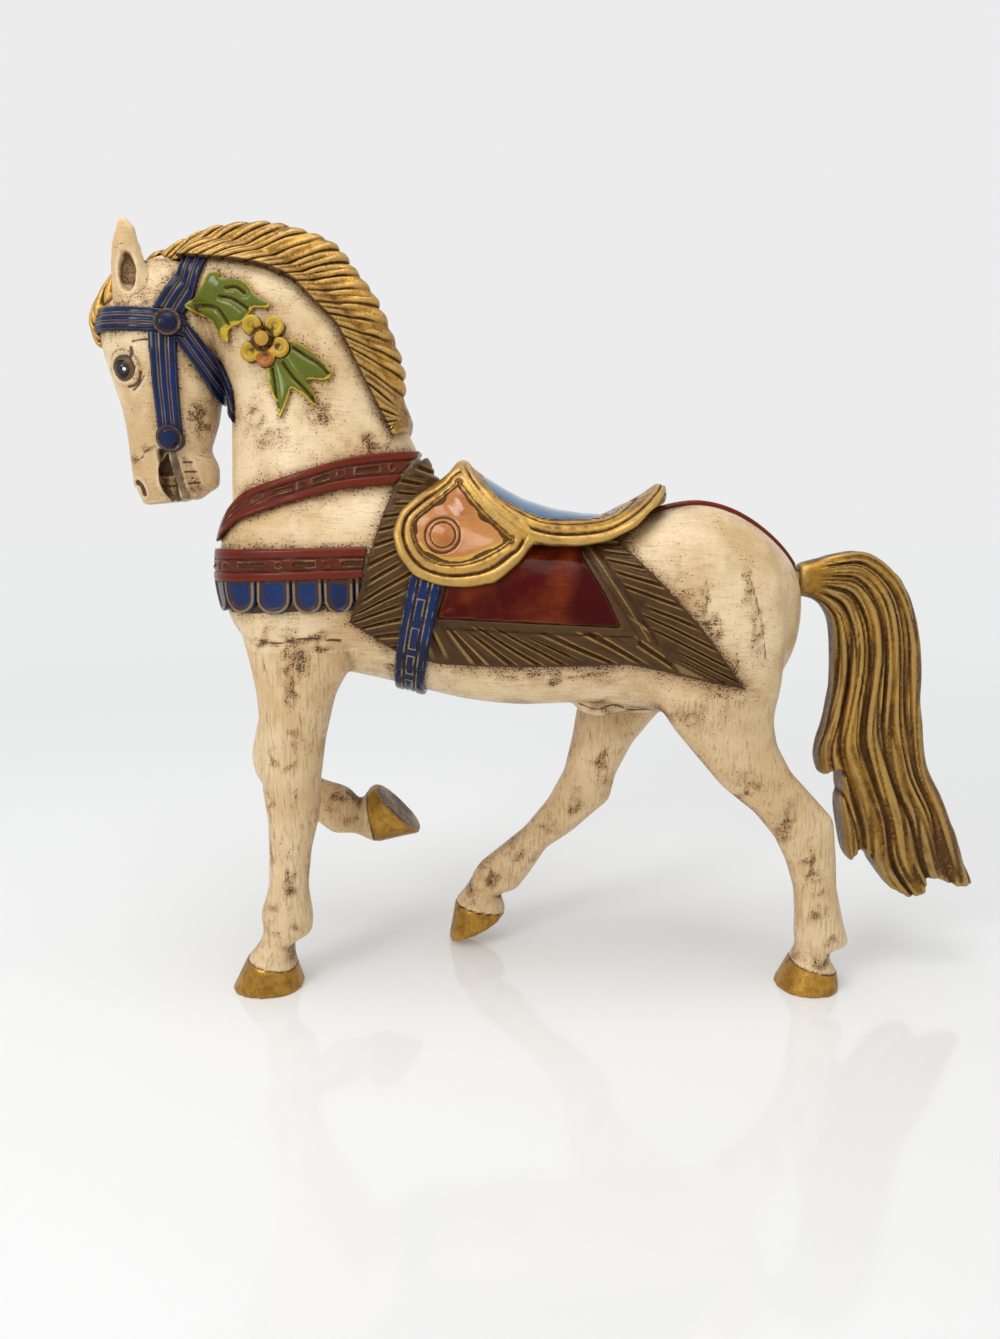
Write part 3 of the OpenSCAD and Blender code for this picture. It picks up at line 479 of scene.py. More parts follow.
def off_point(point, flat):
    """Distance of [x, z] points from one point."""
    return np.hypot(flat[:, 0] - point[0], flat[:, 1] - point[1])


def rolls(share, count):
    """Rounded rolls side by side, from share 0 to share 1."""
    return np.sqrt(np.abs(np.sin(np.clip(share, 0, 1) * math.pi * count)))


def inside(line, flat):
    """True for [x, z] points inside a closed outline."""
    line = np.array(line, float)
    result = np.zeros(len(flat), bool)
    x, z = flat[:, 0], flat[:, 1]
    for (x0, z0), (x1, z1) in zip(line, np.roll(line, -1, 0)):
        crosses = (z0 > z) != (z1 > z)
        with np.errstate(divide="ignore", invalid="ignore"):
            hit = x < (x1 - x0) * (z - z0) / (z1 - z0) + x0
        result ^= crosses & hit
    return result


def from_edge(line, flat):
    """Distance inwards from a closed outline, negative outside it."""
    distance = off_line(list(line) + [line[0]], flat)
    return np.where(inside(line, flat), distance, -distance)


def lattice(stations, flat, steps=5):
    """Run along in millimetres, share across 0 to 1 and row number on stations."""
    rows = smooth_line(stations, steps)
    first, second = rows[:, :2], rows[:, 2:]
    middle = (first + second) / 2
    runs = np.concatenate([[0], np.cumsum(np.linalg.norm(np.diff(middle, axis=0), axis=1))])
    side = []
    for a, b in zip(first, second):
        d = (b - a) / max(np.linalg.norm(b - a), 1e-9)
        side.append((flat[:, 0] - a[0]) * d[1] - (flat[:, 1] - a[1]) * d[0])
    side = np.array(side)
    ahead = (middle[1] - middle[0]) @ np.array(
        [(second[0] - first[0])[1], -(second[0] - first[0])[0]])
    side *= 1 if ahead > 0 else -1
    along = np.zeros(len(flat))
    row = np.zeros(len(flat))
    across = np.full(len(flat), 0.5)
    miss = np.full(len(flat), FAR_AWAY)
    for k in range(len(rows) - 1):
        span = side[k] - side[k + 1]
        t = side[k] / np.where(np.abs(span) < 1e-6, 1e-6, span)
        last = k == len(rows) - 2
        t = np.clip(t, -3 if k == 0 else 0, 4 if last else 1)
        a = first[k] + (first[k + 1] - first[k]) * t[:, None]
        b = second[k] + (second[k + 1] - second[k]) * t[:, None]
        d = b - a
        w = ((flat - a) * d).sum(1) / np.maximum((d * d).sum(1), 1e-9)
        gap = flat - a - w[:, None] * d
        error = np.hypot(gap[:, 0], gap[:, 1]) + 4 * np.maximum(np.abs(w - 0.5) - 0.7, 0)
        better = error < miss - 1e-9
        miss = np.where(better, error, miss)
        along = np.where(better, runs[k] + t * (runs[k + 1] - runs[k]), along)
        row = np.where(better, (k + t) / steps, row)
        across = np.where(better, w, across)
    return along, across, row


def wave_noise(flat, size, seed):
    """Soft repeatable unevenness, about -1 to 1, of a size in millimetres."""
    rng = np.random.default_rng(seed)
    total = np.zeros(len(flat))
    for _ in range(7):
        angle = rng.uniform(0, math.tau)
        pitch = size * rng.uniform(0.7, 1.6)
        phase = rng.uniform(0, math.tau)
        total += np.sin((flat[:, 0] * math.cos(angle) + flat[:, 1] * math.sin(angle))
                        * math.tau / pitch + phase)
    return total / 4


class Carving:
    """The points of one piece, in millimetres, and what the gouge does to them."""

    def __init__(self, obj):
        self.obj = obj
        self.places = get_points(obj.data)
        self.normals = get_normals(obj.data)
        self.flat = self.places[:, [0, 2]]
        self.side = self.places[:, 1]
        self.height = np.zeros(len(self.places))
        self.cut = np.zeros(len(self.places))
        self.tone = np.zeros(len(self.places))
        self.stain_and_shade = np.zeros(len(self.places))
        self.phase = np.zeros(len(self.places))
        self.reach = np.zeros(len(self.places))
        self.plain = np.zeros(len(self.places))
        self.outer = ease(self.facing(), 0.1, 0.45)

    def facing(self):
        """How far each point faces away from the middle of the horse."""
        line = smooth_line(SPINE, 4)
        best = np.full(len(self.flat), FAR_AWAY)
        foot = np.zeros_like(self.flat)
        for a, b in zip(line[:-1], line[1:]):
            step = b - a
            t = np.clip((self.flat - a) @ step / (step @ step), 0, 1)
            point = a + t[:, None] * step
            gap = np.hypot(*(self.flat - point).T)
            near = gap < best
            best = np.where(near, gap, best)
            foot = np.where(near[:, None], point, foot)
        away = np.stack([self.flat[:, 0] - foot[:, 0], self.side,
                         self.flat[:, 1] - foot[:, 1]], 1)
        away /= np.maximum(np.linalg.norm(away, axis=1), 1e-6)[:, None]
        return (away * self.normals).sum(1)

    def turned(self):
        """How far each point faces away from the horse's two sides."""
        return 1 - np.abs(self.normals[:, 1])

    def darken(self, mask):
        """Leaves brown wash wherever the mask is stronger than what is there."""
        self.cut = np.maximum(self.cut, mask)

    def tint(self, mask):
        """Shows the second paint wherever the mask is stronger than what is there."""
        self.tone = np.maximum(self.tone, mask)

    def groove(self, distance, width, depth, dark=1.0):
        """A cut of a width and depth where distance is near zero."""
        shape = ridge(distance, width)
        self.height -= depth * shape
        self.darken(dark * shape)

    def scratch(self, line, width, depth, dark=1.0):
        """A cut along a curve through the points of a side line."""
        self.groove(off_curve(line, self.flat), width, depth, dark)

    def finish(self, everywhere=False):
        """Moves the points and stores the masks that the paint reads."""
        reach = 1.0 if everywhere else self.outer
        set_points(self.obj.data,
                   self.places + self.normals * (self.height * reach)[:, None])
        for name in ("cut", "tone", "stain_and_shade", "reach"):
            store(self.obj, name, np.clip(getattr(self, name), 0, 1))
        store(self.obj, "phase", self.phase)
        # hollow: how far each point sits below its neighbours. The paints darken sunk points
        # with the wash, partly as painted shade, and lighten raised points, partly as painted
        # highlight.
        places = get_points(self.obj.data)
        smooth = spread(places, get_pairs(self.obj.data), 8, 0.9)
        sunk = ((smooth - places) * get_normals(self.obj.data)).sum(1)
        store(self.obj, "hollow", np.clip(0.5 + 1.6 * sunk * (1 - self.plain), 0, 1))


def store(obj, name, values):
    """Keeps one row of values on the points of a piece."""
    mask = obj.data.attributes.get(name) or obj.data.attributes.new(name, "FLOAT", "POINT")
    mask.data.foreach_set("value", values.astype(np.float32))


def place(obj, material, slot, nodes, body=FIGURE):
    """Paints a finished piece and ties it to the frame."""
    mesh = obj.data
    mesh.materials.clear()
    mesh.materials.append(material)
    mesh.shade_smooth()
    mesh.set_sharp_from_angle(angle=math.radians(50))
    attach(obj, body)
    if nodes:
        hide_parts(*nodes)
    return obj


# ----------------------------------------------------------------- materials

class Board:
    """Places and joins nodes on one tree."""

    def __init__(self, tree):
        self.tree = tree

    def add(self, kind, **settings):
        node = self.tree.nodes.new(kind)
        for key, value in settings.items():
            setattr(node, key, value)
        return node

    def feed(self, socket, value):
        if isinstance(value, bpy.types.NodeSocket):
            self.tree.links.new(value, socket)
        elif isinstance(value, (tuple, list)) and len(value) == 3 and socket.type == "RGBA":
            socket.default_value = (*value, 1)
        else:
            socket.default_value = value

    def math(self, operation, a, b=0.0, c=0.0):
        node = self.add("ShaderNodeMath", operation=operation)
        for socket, value in zip(node.inputs, (a, b, c)):
            self.feed(socket, value)
        return node.outputs[0]

    def mix(self, share, a, b):
        node = self.add("ShaderNodeMix", data_type="RGBA")
        self.feed(node.inputs["Factor"], share)
        self.feed(node.inputs[6], a)
        self.feed(node.inputs[7], b)
        return node.outputs[2]

    def blend(self, share, a, b):
        node = self.add("ShaderNodeMix", data_type="FLOAT")
        self.feed(node.inputs["Factor"], share)
        self.feed(node.inputs[2], a)
        self.feed(node.inputs[3], b)
        return node.outputs[0]

    def step(self, value, low, high, bottom=0.0, top=1.0):
        node = self.add("ShaderNodeMapRange", interpolation_type="SMOOTHSTEP")
        for key, given in (("Value", value), ("From Min", low), ("From Max", high),
                           ("To Min", bottom), ("To Max", top)):
            self.feed(node.inputs[key], given)
        return node.outputs[0]

    def noise(self, place, scale, detail=3.0, rough=0.55):
        node = self.add("ShaderNodeTexNoise")
        self.feed(node.inputs["Vector"], place)
        node.inputs["Scale"].default_value = scale
        node.inputs["Detail"].default_value = detail
        node.inputs["Roughness"].default_value = rough
        return node.outputs["Fac"]

    def stretch(self, place, sizes):
        node = self.add("ShaderNodeMapping")
        self.feed(node.inputs["Vector"], place)
        node.inputs["Scale"].default_value = sizes
        return node.outputs["Vector"]


def new_group(name, inputs, outputs):
    """An empty node group with its named sockets."""
    tree = bpy.data.node_groups.new(name, "ShaderNodeTree")
    for label, kind, value in inputs:
        socket = tree.interface.new_socket(label, in_out="INPUT", socket_type=kind)
        socket.default_value = value
    for label, kind in outputs:
        tree.interface.new_socket(label, in_out="OUTPUT", socket_type=kind)
    board = Board(tree)
    return board, board.add("NodeGroupInput").outputs, board.add("NodeGroupOutput").inputs


COLOR, NUMBER = "NodeSocketColor", "NodeSocketFloat"
WHITE = (1, 1, 1, 1)


def line_marks(board, given):
    """A dark cut at each whole phase and a bright edge beside it."""
    part = board.math("FRACT", given["Phase"])
    edge = board.math("MINIMUM", part, board.math("SUBTRACT", 1.0, part))
    low = board.math("MULTIPLY", given["Line"], 0.5)
    dark = board.math("MULTIPLY", board.step(edge, low, given["Line"], 1.0, 0.0),
                      given["Reach"])
    off = board.math("ABSOLUTE", board.math("SUBTRACT", edge, given["Glow at"]))
    low = board.math("MULTIPLY", given["Glow wide"], 0.4)
    glow = board.math("MULTIPLY", board.step(off, low, given["Glow wide"], 1.0, 0.0),
                      board.math("MULTIPLY", given["Reach"], given["Glow"]))
    return dark, glow


LINE_INPUTS = [("Phase", "NodeSocketFloat", 0.0), ("Reach", "NodeSocketFloat", 0.0),
               ("Hollow", "NodeSocketFloat", 0.5), ("Line", "NodeSocketFloat", 0.08),
               ("Glow", "NodeSocketFloat", 0.0), ("Glow at", "NodeSocketFloat", 0.2),
               ("Glow wide", "NodeSocketFloat", 0.08)]


def aged_paint():
    """Brushed paint with a brown wash in its cuts, flecks, rubbed patches, painted shade in
    hollows and painted highlights on raised points.
    """
    tree = bpy.data.node_groups.get("Aged paint")
    if tree:
        return tree
    board, given, out = new_group(
        "Aged paint",
        [("Paint", COLOR, WHITE), ("Rubbed", COLOR, WHITE), ("Second", COLOR, WHITE),
         ("Thin", COLOR, WHITE), ("Wash", COLOR, WHITE), ("Cut", NUMBER, 0.0),
         ("Tone", NUMBER, 0.0), ("Stain and shade", NUMBER, 0.0), ("Upright", NUMBER, 0.0),
         ("Flecks", NUMBER, 0.5), ("Streaks", NUMBER, 0.5), ("Rub", NUMBER, 0.5),
         ("Grit", NUMBER, 0.2), ("Dull", NUMBER, 0.5), ("Shine", NUMBER, 0.3)] + LINE_INPUTS,
        [("Color", COLOR), ("Roughness", NUMBER), ("Height", NUMBER)])
    place = board.add("ShaderNodeTexCoord").outputs["Object"]
    level = board.noise(board.stretch(place, (28, 200, 330)), 3.2, 5, 0.65)
    upright = board.noise(board.stretch(place, (330, 200, 30)), 3.2, 5, 0.65)
    streak = board.blend(given["Upright"], level, upright)
    cloud = board.noise(place, 26, 4, 0.6)
    patch = board.noise(place, 75, 5, 0.62)
    grain = board.noise(place, 1500, 2, 0.6)
    fleck = board.noise(place, 1250, 2, 0.5)
    dark, glow = line_marks(board, given)
    rub = board.math("MULTIPLY", board.step(cloud, 0.36, 0.62), given["Rub"])
    color = board.mix(rub, given["Paint"], given["Rubbed"])
    # Raised points take the rubbed paint: rubbed wear and a painted highlight.
    raised = board.step(given["Hollow"], 0.44, 0.25)
    color = board.mix(board.math("MULTIPLY", raised, board.math(
        "MULTIPLY", given["Rub"], 0.6)), color, given["Rubbed"])
    tone = board.math("MAXIMUM", board.step(given["Tone"], 0.35, 0.65), glow)
    color = board.mix(tone, color, given["Second"])
    lines = board.math("MULTIPLY", board.step(streak, 0.48, 0.72), given["Streaks"])
    color = board.mix(lines, color, given["Thin"])
    # The stain mask carries real stains and painted shade alike, and draws the tan mottle,
    # flecks and smears.
    near = board.math("MULTIPLY_ADD", board.step(patch, 0.42, 0.66), 0.35, given["Stain and shade"])
    mottle = board.math("MULTIPLY", board.step(near, 0.12, 0.95),
                        board.step(streak, 0.32, 0.6, 0.4, 1.0))
    color = board.mix(board.math("MULTIPLY", mottle, 0.8), color, given["Thin"])
    limit = board.math("SUBTRACT", 0.72, board.math("MULTIPLY", near, 0.19))
    above = board.math("SUBTRACT", fleck, limit)
    dots = board.math("MULTIPLY", board.step(above, 0.0, 0.03), given["Flecks"])
    color = board.mix(dots, color, given["Wash"])
    smear = board.math("ADD", given["Stain and shade"], board.math("ADD", board.math(
        "MULTIPLY", board.math("SUBTRACT", streak, 0.5), 1.6), board.math(
            "MULTIPLY", board.math("SUBTRACT", patch, 0.5), 1.2)))
    speck = board.noise(board.stretch(place, (1, 1, 0.8)), 620, 3, 0.6)
    smear = board.math("MULTIPLY", board.step(smear, 0.66, 1.1), board.step(
        speck, 0.44, 0.54, 0.12, 1.0))
    smear = board.math("MULTIPLY", smear, given["Flecks"])
    color = board.mix(board.math("MULTIPLY", smear, 0.8), color, given["Wash"])
    torn = board.math("MULTIPLY_ADD", board.math("SUBTRACT", patch, 0.5), 0.9, given["Cut"])
    deep = board.step(torn, 0.2, 0.75)
    deep = board.math("MULTIPLY", deep, board.step(given["Cut"], 0.04, 0.25))
    # Sunk points take the wash: wash in the hollows and painted shade.
    sunk = board.step(given["Hollow"], 0.56, 0.85)
    deep = board.math("MAXIMUM", deep, board.math("MAXIMUM", dark, sunk))
    color = board.mix(board.math("MULTIPLY", deep, 0.93), color, given["Wash"])
    dull = board.math("ADD", given["Shine"], board.math(
        "MULTIPLY", board.math("MAXIMUM", deep, board.step(patch, 0.35, 0.7, 0, 0.6)),
        given["Dull"]))
    board.feed(out["Color"], color)
    board.feed(out["Roughness"], dull)
    fine = board.math("MULTIPLY", grain, given["Grit"])
    fine = board.math("SUBTRACT", fine, board.math("MULTIPLY", dark, 1.5))
    board.feed(out["Height"], board.math(
        "SUBTRACT", board.math("MULTIPLY_ADD", streak, board.math(
            "MULTIPLY", given["Streaks"], 0.6), fine), board.math("MULTIPLY", dots, 0.25)))
    return board.tree


def gilding():
    """Gold paint: painted highlights on the high points and as glints, brown wash with painted
    shade in the cuts and hollows, with a sandy grain.
    """
    tree = bpy.data.node_groups.get("Gilding")
    if tree:
        return tree
    board, given, out = new_group(
        "Gilding",
        [("Gold", COLOR, WHITE), ("Old gold", COLOR, WHITE), ("Wash", COLOR, WHITE),
         ("Cut", NUMBER, 0.0), ("Tone", NUMBER, 0.0), ("Age", NUMBER, 0.3),
         ("Grit", NUMBER, 0.5)] + LINE_INPUTS,
        [("Color", COLOR), ("Roughness", NUMBER), ("Height", NUMBER)])
    place = board.add("ShaderNodeTexCoord").outputs["Object"]
    sand_grain = board.noise(place, 850, 3, 0.65)
    cloud = board.noise(place, 60, 4, 0.6)
    flake = board.noise(place, 330, 4, 0.6)
    spark = board.noise(place, 700, 2, 0.6)
    dark, glow = line_marks(board, given)
    aged = board.math("ADD", board.math("MULTIPLY", board.step(cloud, 0.35, 0.65),
                                        given["Age"]), given["Tone"])
    aged = board.math("ADD", aged, board.math("MULTIPLY", board.step(
        flake, 0.45, 0.62), board.math("MULTIPLY", given["Age"], 0.6)))
    color = board.mix(aged, given["Gold"], given["Old gold"])
    # Pale gold laid on raised points and beside the cuts is a painted highlight.
    highlight_gold = board.mix(0.3, given["Gold"], (1, 0.78, 0.36, 1))
    raised = board.math("MAXIMUM", board.step(given["Hollow"], 0.45, 0.22), glow)
    color = board.mix(board.math("MULTIPLY", raised, 0.6), color, highlight_gold)
    # Pale dots from the spark noise are painted glints.
    shine = board.math("MULTIPLY", board.step(spark, 0.6, 0.7), given["Grit"])
    color = board.mix(board.math("MULTIPLY", shine, 0.75), color, highlight_gold)
    worn = board.math("MULTIPLY", board.step(sand_grain, 0.55, 0.7), given["Grit"])
    color = board.mix(board.math("MULTIPLY", worn, 0.7), color, given["Old gold"])
    torn = board.math("MULTIPLY_ADD", board.math("SUBTRACT", flake, 0.5), 0.8, given["Cut"])
    deep = board.math("MULTIPLY", board.step(torn, 0.25, 0.85),
                      board.step(given["Cut"], 0.05, 0.3))
    # Sunk points take the wash: wash in the hollows and painted shade.
    sunk = board.step(given["Hollow"], 0.55, 0.95, 0.0, 0.9)
    deep = board.math("MAXIMUM", deep, board.math("MAXIMUM", dark, sunk))
    color = board.mix(board.math("MULTIPLY", deep, 0.92), color, given["Wash"])
    board.feed(out["Color"], color)
    board.feed(out["Roughness"], board.math(
        "ADD", board.math("MULTIPLY", deep, 0.3), board.step(flake, 0.3, 0.7, 0.28, 0.44)))
    board.feed(out["Height"], board.math(
        "SUBTRACT", board.math("MULTIPLY_ADD", flake, 0.4, board.math(
            "MULTIPLY", sand_grain, given["Grit"])), dark))
    return board.tree


def start_material(name):
    """A material with an emptied tree, its shader and the masks of the piece."""
    material = bpy.data.materials.new(name)
    material.use_nodes = True
    board = Board(material.node_tree)
    shader = material.node_tree.nodes["Principled BSDF"]
    masks = {}
    for mask in ("cut", "tone", "stain_and_shade", "gilt", "phase", "reach", "hollow"):
        node = board.add("ShaderNodeAttribute", attribute_name=mask)
        masks[mask] = node.outputs["Fac"]
    return material, board, shader, masks


def join_bump(board, shader, height, size):
    """Gives the shader a bump of a size in metres."""
    bump = board.add("ShaderNodeBump")
    bump.inputs["Strength"].default_value = 0.7
    bump.inputs["Distance"].default_value = size
    board.feed(bump.inputs["Height"], height)
    board.feed(shader.inputs["Normal"], bump.outputs["Normal"])


def line_values(masks, line, glow, glow_at, glow_wide):
    """What the groups need for their lines."""
    return (("Phase", masks["phase"]), ("Reach", masks["reach"]), ("Hollow", masks["hollow"]),
            ("Line", line), ("Glow", glow), ("Glow at", glow_at), ("Glow wide", glow_wide))


def paint(name, colour, rubbed, second=None, thin=None, upright=0.0, flecks=0.35,
          streaks=0.35, rub=0.5, grit=0.15, dull=0.25, shine=0.3, coat=0.0, spec=0.22,
          gilt=False, line=0.08, glow=0.0, glow_at=0.2, glow_wide=0.08):
    """One painted finish."""
    made = bpy.data.materials.get(name)
    if made:
        return made
    paints = bpy.context.scene.horse_paint
    material, board, shader, masks = start_material(name)
    group = board.add("ShaderNodeGroup", node_tree=aged_paint())
    thin = thin or [0.55 * a + 0.45 * b for a, b in zip(colour, paints.wash)]
    for label, value in line_values(masks, line, glow, glow_at, glow_wide) + (
            ("Thin", tuple(thin)), ("Paint", tuple(colour)), ("Rubbed", tuple(rubbed)),
            ("Second", tuple(second or colour)), ("Wash", tuple(paints.wash)),
            ("Cut", masks["cut"]), ("Tone", masks["tone"]), ("Stain and shade", masks["stain_and_shade"]),
            ("Upright", upright), ("Flecks", flecks), ("Streaks", streaks), ("Rub", rub),
            ("Grit", grit), ("Dull", dull), ("Shine", shine)):
        board.feed(group.inputs[label], value)
    color, rough, height = (group.outputs[k] for k in ("Color", "Roughness", "Height"))
    if gilt:
        gold = gold_group(board, masks, 0.5, 0.4)
        share = board.step(masks["gilt"], 0.4, 0.6)
        color = board.mix(share, color, gold.outputs["Color"])
        rough = board.blend(share, rough, gold.outputs["Roughness"])
        board.feed(shader.inputs["Metallic"], board.math("MULTIPLY", share, 0.45))
    board.feed(shader.inputs["Base Color"], color)
    board.feed(shader.inputs["Roughness"], rough)
    shader.inputs["Specular IOR Level"].default_value = spec
    shader.inputs["Coat Weight"].default_value = coat * 0.35
    shader.inputs["Coat Roughness"].default_value = 0.1
    join_bump(board, shader, height, 0.00025)
    return material


def gold_group(board, masks, age, grit, line=0.08, glow=0.0, glow_at=0.2, glow_wide=0.08,
               gold=None, old=None):
    """The gilding group, fed with the horse's golds."""
    paints = bpy.context.scene.horse_paint
    group = board.add("ShaderNodeGroup", node_tree=gilding())
    for label, value in line_values(masks, line, glow, glow_at, glow_wide) + (
            ("Gold", tuple(gold or paints.gold)), ("Old gold", tuple(old or paints.old_gold)),
            ("Wash", tuple(paints.wash)), ("Cut", masks["cut"]), ("Tone", masks["tone"]),
            ("Age", age), ("Grit", grit)):
        board.feed(group.inputs[label], value)
    return group


def gilt(name, age=0.3, grit=0.5, metal=0.5, bump=0.0004, **lines):
    """One gold finish."""
    made = bpy.data.materials.get(name)
    if made:
        return made
    material, board, shader, masks = start_material(name)
    group = gold_group(board, masks, age, grit, **lines)
    board.feed(shader.inputs["Base Color"], group.outputs["Color"])
    board.feed(shader.inputs["Roughness"], group.outputs["Roughness"])
    shader.inputs["Metallic"].default_value = metal
    shader.inputs["Specular IOR Level"].default_value = 0.25
    join_bump(board, shader, group.outputs["Height"], bump)
    return material


def ivory_paint():
    paints = bpy.context.scene.horse_paint
    return paint("Ivory paint", paints.ivory, paints.cream, thin=paints.tan, upright=0.3,
                 flecks=0.9, streaks=0.5, rub=0.85, dull=0.2, shine=0.33, coat=0.3,
                 gilt=True)


def leg_paint():
    paints = bpy.context.scene.horse_paint
    return paint("Ivory leg paint", paints.ivory, paints.cream, thin=paints.tan, upright=1.0,
                 flecks=0.8, streaks=0.75, rub=0.6, dull=0.2, shine=0.36, coat=0.2,
                 gilt=True)


def blue_paint():
    paints = bpy.context.scene.horse_paint
    return paint("Blue paint", paints.blue, paints.navy, second=(0.26, 0.21, 0.14),
                 thin=paints.navy, flecks=0.4, streaks=0.5, rub=0.8, dull=0.2, shine=0.22,
                 coat=0.6, spec=0.12, line=0.1, glow=0.75, glow_at=0.17, glow_wide=0.08)


def red_paint():
    paints = bpy.context.scene.horse_paint
    return paint("Red paint", paints.red, (0.19, 0.026, 0.008), second=(0.4, 0.22, 0.07),
                 flecks=0.8, streaks=0.9, rub=0.5, dull=0.2, shine=0.24, coat=0.4,
                 spec=0.12)


# --------------------------------------------------------------- carved skins

def body_skin():
    """The whole wooden body as one sanded skin, kept for all that is cut from it."""
    made = bpy.data.objects.get("body_skin")
    if made:
        return made
    carving = bpy.context.scene.horse_carving
    nodes = ["torso", "neck", "head", "left_foreleg", "right_forearm", "right_cannon",
             "left_hind_leg", "right_hind_leg", "leg_dowels", "neck_dowels", "knee_dowel"]
    socket = ((86, 0, PEG_HEIGHT), (113.3, 0, PEG_HEIGHT), 4.6)
    skin = merged_copy(nodes, "body_skin", plugs=[socket])
    regrid(skin, carving.wood_grid)
    places = get_points(skin.data)
    legs = ease(places[:, 2], 70, 135)
    thin = ease(places[:, 2], 8, 40)
    sand(skin, 56, 0.14 + 0.14 * thin + 0.52 * legs)
    return skin


def head_skin():
    """The head and neck as one finer sanded skin, the mouth slit half filled."""
    made = bpy.data.objects.get("head_skin")
    if made:
        return made
    carving = bpy.context.scene.horse_carving
    skin = merged_copy(["head", "neck", "neck_dowels", "eyes"], "head_skin")
    filler = prism([(-176, 222), (-167.3, 221.9), (-164.6, 224.4), (-163.8, 228),
                    (-162.2, 224.5), (-159, 224.3), (-158, 232), (-160, 245), (-174, 245)],
                   "filler", -8.2, 8.2)
    bm = bmesh.new()
    bm.from_mesh(skin.data)
    bm.from_mesh(filler.data)
    bm.to_mesh(skin.data)
    bm.free()
    drop(filler)
    regrid(skin, carving.head_grid)
    places = get_points(skin.data)
    neck = ease(places[:, 0], -160, -135)
    sand(skin, 60, 0.3 + 0.5 * neck)
    return skin


def shell(name, skin, line, depth, spacing, extra=()):
    """A raised trim: the skin moved outwards inside a side outline, less the wood."""
    carving = bpy.context.scene.horse_carving
    trim = grow(duplicate(skin, name), depth)
    cut(trim, prism(line), "INTERSECT")
    for cutter, operation in extra:
        cut(trim, cutter, operation)
    wood = grow(duplicate(skin, "wood"), -carving.sink / MM)
    cut(trim, wood, "DIFFERENCE")
    regrid(trim, spacing)
    return sand(trim, 3, 0.5)


def near_trims(flat):
    """Brown left beside the raised trims, strongest against their edges."""
    dirt = np.zeros(len(flat))
    for line, width, strength in (
            (UPPER_BREAST_LINE, 3.0, 0.9), (LOWER_BREAST_LINE, 3.0, 0.9),
            (SCALLOP_LINE, 2.5, 0.5), (BLANKET_LINE, 4.0, 1.0), (SEAT_LINE, 3.0, 0.5),
            (CROWN_LINE, 2.6, 0.9), (BROWBAND_LINE, 2.2, 0.7), (CHEEK_LINE, 2.0, 0.7),
            (THROAT_LINE, 2.6, 0.8), (UPPER_LEAF_LINE, 2.6, 0.8), (LOWER_LEAF_LINE, 2.6, 0.8),
            (GIRTH_LINE, 2.5, 0.8)):
        gap = -from_edge(line, flat)
        dirt = np.maximum(dirt, strength * np.exp(-np.maximum(gap, 0) / width))
    mane = off_curve(MANE_EDGE, flat, 4)
    return np.maximum(dirt, 0.9 * np.exp(-mane / 3.0))


# Brown patches rubbed into the body: [x, z, half width, half height, strength].
PATCHES = [(66, 168, 4, 7, 1.0), (63, 178, 3, 8, 0.7), (86, 168, 2.5, 9, 0.7),
           (82, 186, 2, 6, 0.6), (50, 190, 5, 5, 0.5), (58, 182, 3, 4, 0.5),
           (-110, 158, 4, 9, 0.9), (-103, 162, 6, 2, 1.0), (-124, 162, 4, 2, 0.9),
           (-128, 258, 5, 8, 0.5), (-100, 258, 5, 5, 0.7), (-120, 250, 8, 5, 0.5),
           (-78, 246, 6, 4, 0.9), (-72, 150, 6, 3, 0.8), (-155, 256, 3, 9, 1.0),
           (-148, 268, 3, 5, 0.6), (-177, 246, 4, 1.4, 0.7), (-184, 240, 3, 1.6, 0.7),
           (-150, 247, 3, 3, 0.8), (-160, 316, 3, 4, 0.8), (-176, 306, 4, 3, 0.6),
           (0, 148, 30, 2.5, 0.6), (26, 127, 6, 3, 0.9), (40, 126, 5, 3, 0.5),
           (60, 130, 10, 4, 0.5), (84, 140, 8, 3, 0.4)]
LEG_PATCHES = [(-113, 144, 2.4, 8, 0.9), (-112, 122, 2, 5, 0.8), (-123, 112, 2, 3, 0.7),
               (-114, 106, 2, 3, 0.7), (-113, 93, 1.6, 2.4, 0.8), (-125, 86, 1.5, 8, 0.5),
               (-126, 66, 1.5, 8, 0.6), (-118, 52, 1.8, 9, 0.9), (-124, 40, 2, 5, 0.6),
               (-116, 33, 2, 4, 0.6), (-128, 30, 4, 2, 0.5), (86, 96, 3, 7, 0.6),
               (104, 80, 2.5, 9, 0.8), (116, 62, 1.8, 8, 0.9), (121, 50, 2, 6, 0.6),
               (120, 38, 3, 4, 0.6), (128, 24, 3, 3, 0.7), (60, 128, 4, 6, 0.5),
               (-118, 18, 4, 2.4, 0.9), (124, 15, 6, 2, 0.9)]
FAR_PATCHES = [(26, 96, 3, 7, 0.8), (14, 76, 3, 7, 0.7), (0, 62, 4, 4, 0.6),
               (-14, 48, 5, 3, 0.6), (-28, 36, 4, 4, 0.8), (-36, 28, 4, 3, 0.7),
               (-104, 76, 5, 4, 0.9), (-116, 80, 5, 4, 0.7), (-96, 66, 3, 4, 0.8)]


# Knife scratches: [line, width, depth].
SCRATCHES = [([(83.5, 188.5), (87, 176), (89, 166), (90.5, 155.5)], 0.5, 0.35),
             ([(-128, 163.5), (-118, 162), (-106, 164), (-92, 162.5)], 0.55, 0.4),
             ([(63.5, 190.5), (66.5, 178)], 0.35, 0.2),
             ([(-125, 156), (-124, 148)], 0.4, 0.25),
             ([(14, 129), (22, 126.5), (30, 129), (37, 126), (46, 127)], 0.6, 0.4)]
